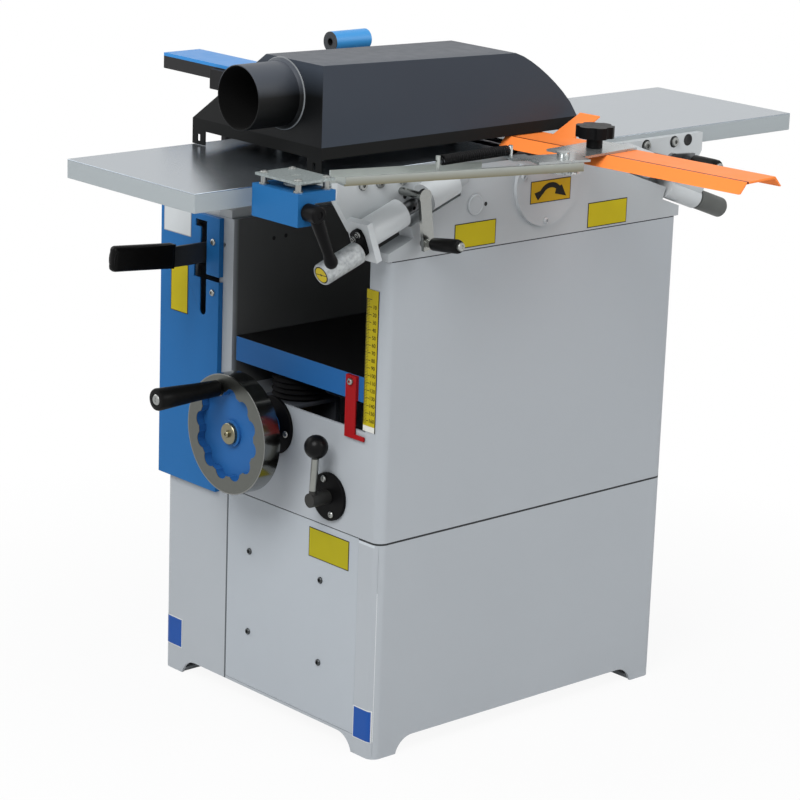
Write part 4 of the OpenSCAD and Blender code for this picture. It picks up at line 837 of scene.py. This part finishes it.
# Clamp levers of the tables: a pin through the bracket, a pressed zinc crank and a black
# turned grip that points to the operator, held by a bright screw in its end.
for node, name, colour, roughness in (
    ("infeed_clamp", "zinc_crank", (150, 152, 149), 0.22),
    ("outfeed_clamp", "dark_crank", (100, 102, 104), 0.36),
):
    crank = turned_steel(name, colour, roughness)
    x, y, z = crank.xyz()
    crank.paint(y < -0.2525, (14, 14, 15), 0.4, 0.0)
    wear(node, crank, 0.0012)
grip_plastic = moulded("grip_plastic", (12, 12, 12), 0.36)
grip_form = [(9, 6.4), (10, 7.6), (12, 8.3), (30, 8.8), (50, 9.2), (57, 9.0), (59.4, 8.0), (60, 6.6)]
grip_form.append((60, 5.2))
end_form = [(59.5, 5.6), (63.4, 5.6), (64.2, 4.8), (64.2, 2.6), (63.2, 2.3)]
for name, body, spot, along in (
    ("infeed_clamp", "infeed_lock", (-215.4, -241, 695.6), (-0.017, -0.9925, 0.1207)),
    ("outfeed_clamp", "outfeed_lock", (265.9, -241, 754.6), (-0.1216, -0.9925, 0.0085)),
):
    turned_one(name + "_grip", grip_form, 32, spot, along, body, grip_plastic)
    turned_one(name + "_screw", end_form, 20, spot, along, body, zinc_bolt)

# Guard block and plate: a blue painted block on the infeed table's edge, with a zinc plate on
# four screws over the arm's pivot, and a black clamp lever in front.
blue_block = enamel("blue_block_enamel", (34, 96, 150))
wear("guard_block", blue_block, 0.0014)
zinc = turned_steel("zinc_plate", (134, 140, 138), 0.4, (1, 1, 1), 0.4)
spangle = zinc.noise(420, 4) * 1.6 - 0.3
zinc.feed("Base Color", zinc.mix(spangle, linear(112, 119, 118), linear(168, 176, 176)))
wear("guard_plate", zinc, 0.0006)
corners = [(-450, -262.3), (-450, -198.3), (-406, -262.3), (-406, -198.3)]
form = [(0, 6.2), (1.8, 6.2), (2.1, 5.9), (2.1, 4.1), (11, 4.1), (11, 3.6)]
spots = [(a, b, 790.5) for a, b in corners]
turned_set("guard_plate_posts", form, 24, spots, upward, "infeed", zinc_bolt)
form = [(0, 5), (1.0, 5), (2.0, 4.2), (2.6, 2.8), (2.6, 1.8), (1.6, 1.6)]
spots = [(a, b, 804.5) for a, b in corners]
turned_set("guard_plate_caps", form, 24, spots, upward, "infeed", zinc_bolt)
lever_look = moulded("clamp_lever_plastic", (11, 11, 12), 0.4)
form = [(0, 5), (80, 5), (80, 9.5), (82, 11), (102, 11), (104, 9), (104, 5), (102.6, 4.6)]
hub = stand_at(turn("guard_clamp_lever", form, 32), (-444, -192.3, 768), to_near)
form = [(0, 8), (10, 8.4), (36, 7.2), (56, 6.4), (60, 7.4), (64, 8.3), (68, 8.5), (72, 7.6), (75, 5.2)]
form.append((76, 2))
hang = math.radians(24)
arm = stand_at(turn("guard_clamp_arm", form, 24), (-444, -287.3, 768), (math.sin(hang), 0, -math.cos(hang)))
lever = join([hub, arm], "guard_clamp_lever")
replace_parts(settle(lever, "guard_lock", lever_look), "guard_clamp")

# Guard arm and saddle: folded zinc plated sheet. The arm swings on the block, the saddle
# pivots on the arm's end and a tension spring draws it back to its stop.
arm_zinc = turned_steel("zinc_arm", (166, 171, 168), 0.3, (0.2, 0.6, 0.6), 0.45)
yaw = math.radians(-15.5)
x, y, z = arm_zinc.xyz()
rise = arm_zinc.ramp(z, 0.7930, 0.8055)
flange = (y + 0.2303) * math.cos(yaw) - (x + 0.428) * math.sin(yaw) < -0.0288
arm_zinc.paint(flange * (1 - rise), (116, 111, 90))
wear("guard_arm", arm_zinc, 0.0005)
saddle_zinc = turned_steel("zinc_saddle", (164, 168, 168), 0.28, (0.6, 0.2, 0.6), 0.8)
wear("guard_saddle", saddle_zinc, 0.0006)


def on_arm(x, y, z):
    # a point of the guard arm, x along it from its pivot, in millimetres
    c, s = math.cos(yaw), math.sin(yaw)
    return (-428 + x * c - y * s, -230.3 + x * s + y * c, z)


post_a, post_b = Vector(on_arm(185, -16, 815)), Vector(on_arm(307, 22, 815))
along = (post_b - post_a).normalized()
across = Vector((-along.y, along.x, 0))
up = Vector((0, 0, 1))
hook_r, coil_r, seat = 3.9, 6.25, 4.05
first, last = post_a + along * seat, post_b - along * seat
curls, per_curl = 52, 12
wire = []
for step in range(9):
    a = math.radians(200 - step * 25)
    wire.append(post_a + along * (hook_r * math.cos(a) * 0.9) + across * hook_r * math.sin(a))
for step in range(curls * per_curl + 1):
    t = step / (curls * per_curl)
    grow = min(1, 0.35 + 0.65 * min(t, 1 - t) * curls)
    a = 2 * math.pi * step / per_curl
    wire.append(first + (last - first) * t + (across * math.cos(a) + up * math.sin(a)) * coil_r * grow)
for step in range(9):
    a = math.radians(step * 25)
    wire.append(post_b - along * hook_r * math.cos(a) + across * hook_r * math.sin(a))
settings = {"dimensions": "3D", "bevel_depth": 0.00075, "bevel_resolution": 1}
spring = drawn("guard_spring_wire", wire, False, **settings)
bpy.ops.object.shade_smooth_by_angle(angle=math.radians(50))
spring_black = turned_steel("black_spring_wire", (26, 26, 27), 0.45, (1, 1, 1), 0.6)
spring.data.materials.clear()
spring.data.materials.append(spring_black.material)
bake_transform(spring)
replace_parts(spring, "guard_spring")

# Guard beam: a pressed alloy section enamelled bright orange, with a groove along its
# near crease and a raised flap at the cutter. It slides under the saddle's strap.
orange = enamel("orange_enamel", (252, 138, 66), 0.42)
beam_yaw = math.radians(5)
x, y, z = orange.xyz()
across_beam = (x + 0.0315) * math.cos(beam_yaw) + (y + 0.1708) * math.sin(beam_yaw)
# painted shade: a dark orange line is painted along the groove by the near crease
orange.paint(abs(across_beam - 0.0175) < 0.0020, (112, 42, 12))
wear("guard_beam", orange, 0.0008)
wear("guard_knob", moulded("star_knob_plastic", (14, 14, 15), 0.4), 0.0022)

# Dust hood: folded and welded sheet on four slotted legs, coated dark grey, with a round
# spigot for the hose in a welded collar. It stands on the tables and lifts off.
hood_coat = powder_coat("dark_hood_coat", (54, 60, 69), 0.44, 0.16)
x, y, z = hood_coat.xyz()
rise = hood_coat.ramp(z, 0.882, 0.918)
core = gap_square(y, -0.102, z, 0.878)
# painted shade: the hood's end and the spigot fade to near black towards the bottom
hood_coat.paint((x < -0.3444) * (1 - rise), (9, 10, 11))
# painted light: the spigot's upper part is painted lighter towards the top
hood_coat.paint((x < -0.3460) * rise, (72, 76, 83))
# painted highlight: the outer lip of the welded collar round the spigot is painted light grey
hood_coat.paint((x < -0.3453) * (core > 0.0449 * 0.0449), (116, 119, 122))
# painted shade: the rim band and legs below the hood's sides are painted near black
hood_coat.paint(z < 0.8205, (7, 8, 8), 0.7)
# painted shade: the inside of the spigot is painted black
hood_coat.paint((core < 0.0400 * 0.0400) * (x < -0.3435), (3, 3, 3), 0.9)
wear("hood", hood_coat, 0.0008)
form = [(0, 46), (0.8, 46), (1.8, 45), (2.4, 43.4), (4.4, 42.2), (5.4, 41.3)]
spot = (-345, -102, 878)
turned_one("spigot_collar", form, 64, spot, to_front, "dust_hood", hood_coat, 40.4)

# Thicknesser table: a ribbed casting, blue on its sides and planed smooth on top, where a painted
# reflection makes it near black.
# It rises on the guide column and the lift screw, with the red pointer on its front.
planed = enamel("blue_lift_enamel", (36, 92, 150))
x, y, z = planed.xyz()
# painted reflection: the planed top is painted near black for the dark throat it mirrors
planed.paint(z > 0.5155, (18, 18, 19), 0.34, 0.2)
wear("lift_table", planed, 0.0012)
wear("lift_column", ground)
red_enamel = enamel("red_pointer_enamel", (146, 20, 24))
wear("pointer", red_enamel, 0.0005)
form = [(0, 4.7), (2.4, 4.7), (3.4, 4.0), (3.6, 2.8), (3.6, 2.0), (2.2, 1.8)]
turned_one("pointer_screw", form, 24, (-271, -165, 507), to_front, "lift", zinc_bolt)
wear("bevel_nut", turned_steel("bronze_nut", (140, 114, 72), 0.36))

# Boot: a black rubber bellows round the lift screw, between the nut bracket and the table.
# The real bellows stretches as the table rises; here it is made at one fixed length.
boot_low, fold, screw_x, screw_y = 445.3, 3.64, -0.225, -0.009
folds = [(boot_low + k * fold, 31 if k % 2 == 0 else 37) for k in range(11)]
boot = turn("screw_boot", folds, 40, 28)
boot.location = (screw_x, screw_y, 0)
firm(boot)
bpy.ops.object.shade_smooth_by_angle(angle=math.radians(25))
boot.data.materials.clear()
boot.data.materials.append(moulded("boot_rubber", (18, 18, 19), 0.6).material)
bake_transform(boot)
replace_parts(boot, "boot")

# Handwheel: a cast web painted blue in a machined and polished rim with finger hollows.
# A washer and bolt hold it on the shaft of the bevel gear; the black grip turns on its pin.
polish = turned_steel("polished_rim", (98, 100, 96), 0.34, (6, 1, 1))
x, y, z = polish.xyz()
out = gap_square(y, -0.009, z, 0.412)
polish.paint((x > -0.3492) * (out < 0.0668 * 0.0668), (36, 88, 146), 0.42, 0.0)
polish.paint(out > 0.0795 * 0.0795, (122, 123, 121), 0.14, 1.0)
wear("handwheel_rim", polish, 0.002)
blue_web = enamel("blue_web_enamel", (38, 92, 150))
x, y, z = blue_web.xyz()
blue_web.paint(x > -0.272, (130, 130, 132), 0.35, 1.0)
wear("handwheel_web", blue_web, 0.0014)
olive_zinc = turned_steel("olive_zinc", (128, 124, 104), 0.36)
wheel_y, wheel_z, grip_r, grip_at = -9, 412, 62, math.radians(15)
form = [(0, 14.4), (4.4, 14.4), (5.2, 13.6), (5.2, 4.8), (8.4, 4.8), (9.2, 4.2), (9.2, 2.0), (8.0, 1.8)]
spot = (-342, wheel_y, wheel_z)
turned_one("handwheel_washer", form, 36, spot, to_front, "handwheel", olive_zinc)
grip_y, grip_z = wheel_y + grip_r * math.sin(grip_at), wheel_z + grip_r * math.cos(grip_at)
form = [(0, 5), (21, 5), (21, 9), (22, 11), (60, 12), (100, 14), (119, 15), (121.4, 14), (122, 12.4)]
form += [(122, 8), (120.4, 7.6)]
grip = turn("handwheel_grip_sleeve", form, 40)
stand_at(grip, (-332, grip_y, grip_z), to_front)
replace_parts(settle(grip, "handwheel_grip", grip_plastic), "wheel_grip")
form = [(0, 7.2), (1.2, 7.2), (2.0, 6.2), (2.0, 3.0), (1.0, 2.6)]
spot = (-452.4, grip_y, grip_z)
turned_one("grip_end_screw", form, 24, spot, to_front, "handwheel_grip", zinc_bolt)

# Column lock: a zinc rod with a black ball in a dark hub, on the shaft of the clamp cam.
# It turns against the flange on the front.
lock_look = turned_steel("zinc_lock_rod", (140, 142, 138), 0.32)
x, y, z = lock_look.xyz()
lock_look.paint(z > 0.3995, (12, 12, 13), 0.3, 0.0)
lock_look.paint((x < -0.2725) * (z < 0.3555), (56, 56, 55), 0.42, 0.6)
wear("lock_lever", lock_look, 0.001)

# Feed lever: a flat bar from its pivot in the column out through the gate, with a black
# moulded grip pushed over its end. It throws the feed of the rollers in and out.
lever_bar = turned_steel("lever_bar_steel", (66, 67, 68), 0.44, (0.5, 5, 5), 0.7)
x, y, z = lever_bar.xyz()
lever_bar.paint(x < -0.3288, (10, 10, 10), 0.42, 0.0)
wear("feed_lever", lever_bar, 0.0012)
handle = slab("feed_lever_grip", (-101.2, -7.9, -17.3), (0.6, 7.9, 17.3), 6.2, 4)
firm(handle)
lean = Matrix.Rotation(math.radians(4.5), 4, "Y")
handle.matrix_world = Matrix.Translation((-0.3285, 0.139, 0.622)) @ lean
settle(handle, "feed_switch", grip_plastic, 60)

# Fence: an alloy plate on a hinge at the end of the fence arm, which slides in a dark bracket
# on the far side. The arm is a dark channel under a blue top plate.
arm_coat = enamel("blue_fence_enamel", (52, 132, 200), 0.34, 0.16)
x, y, z = arm_coat.xyz()
arm_coat.paint(z < 0.8455, (34, 34, 35))
wear("fence_arm", arm_coat, 0.0008)
wear("fence_bracket", moulded("dark_bracket_paint", (34, 34, 35), 0.5), 0.0012)
spots = [(a, 235, b) for a in (-156, -104) for b in (572, 646)]
turned_set("fence_bracket_screws", socket_head, 24, spots, to_far, "stand", zinc_bolt)
fence_alloy = ground_alloy("fence_alloy", (160, 167, 173), 0.28)
x, y, z = fence_alloy.xyz()
boss_z = 0.8835
fence_alloy.paint(z > boss_z, (56, 142, 206), 0.38, 0.0)
fence_alloy.paint((z > boss_z) * (x < -0.0972), (34, 37, 40), 0.5, 0.0)
# painted shade: the bore of the boss is painted near black
fence_alloy.paint(gap_square(y, 0.095, z, 0.898) < 0.0064 * 0.0064, (14, 14, 15), 0.5, 0.0)
wear("fence_plate", fence_alloy, 0.001)

low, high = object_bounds()
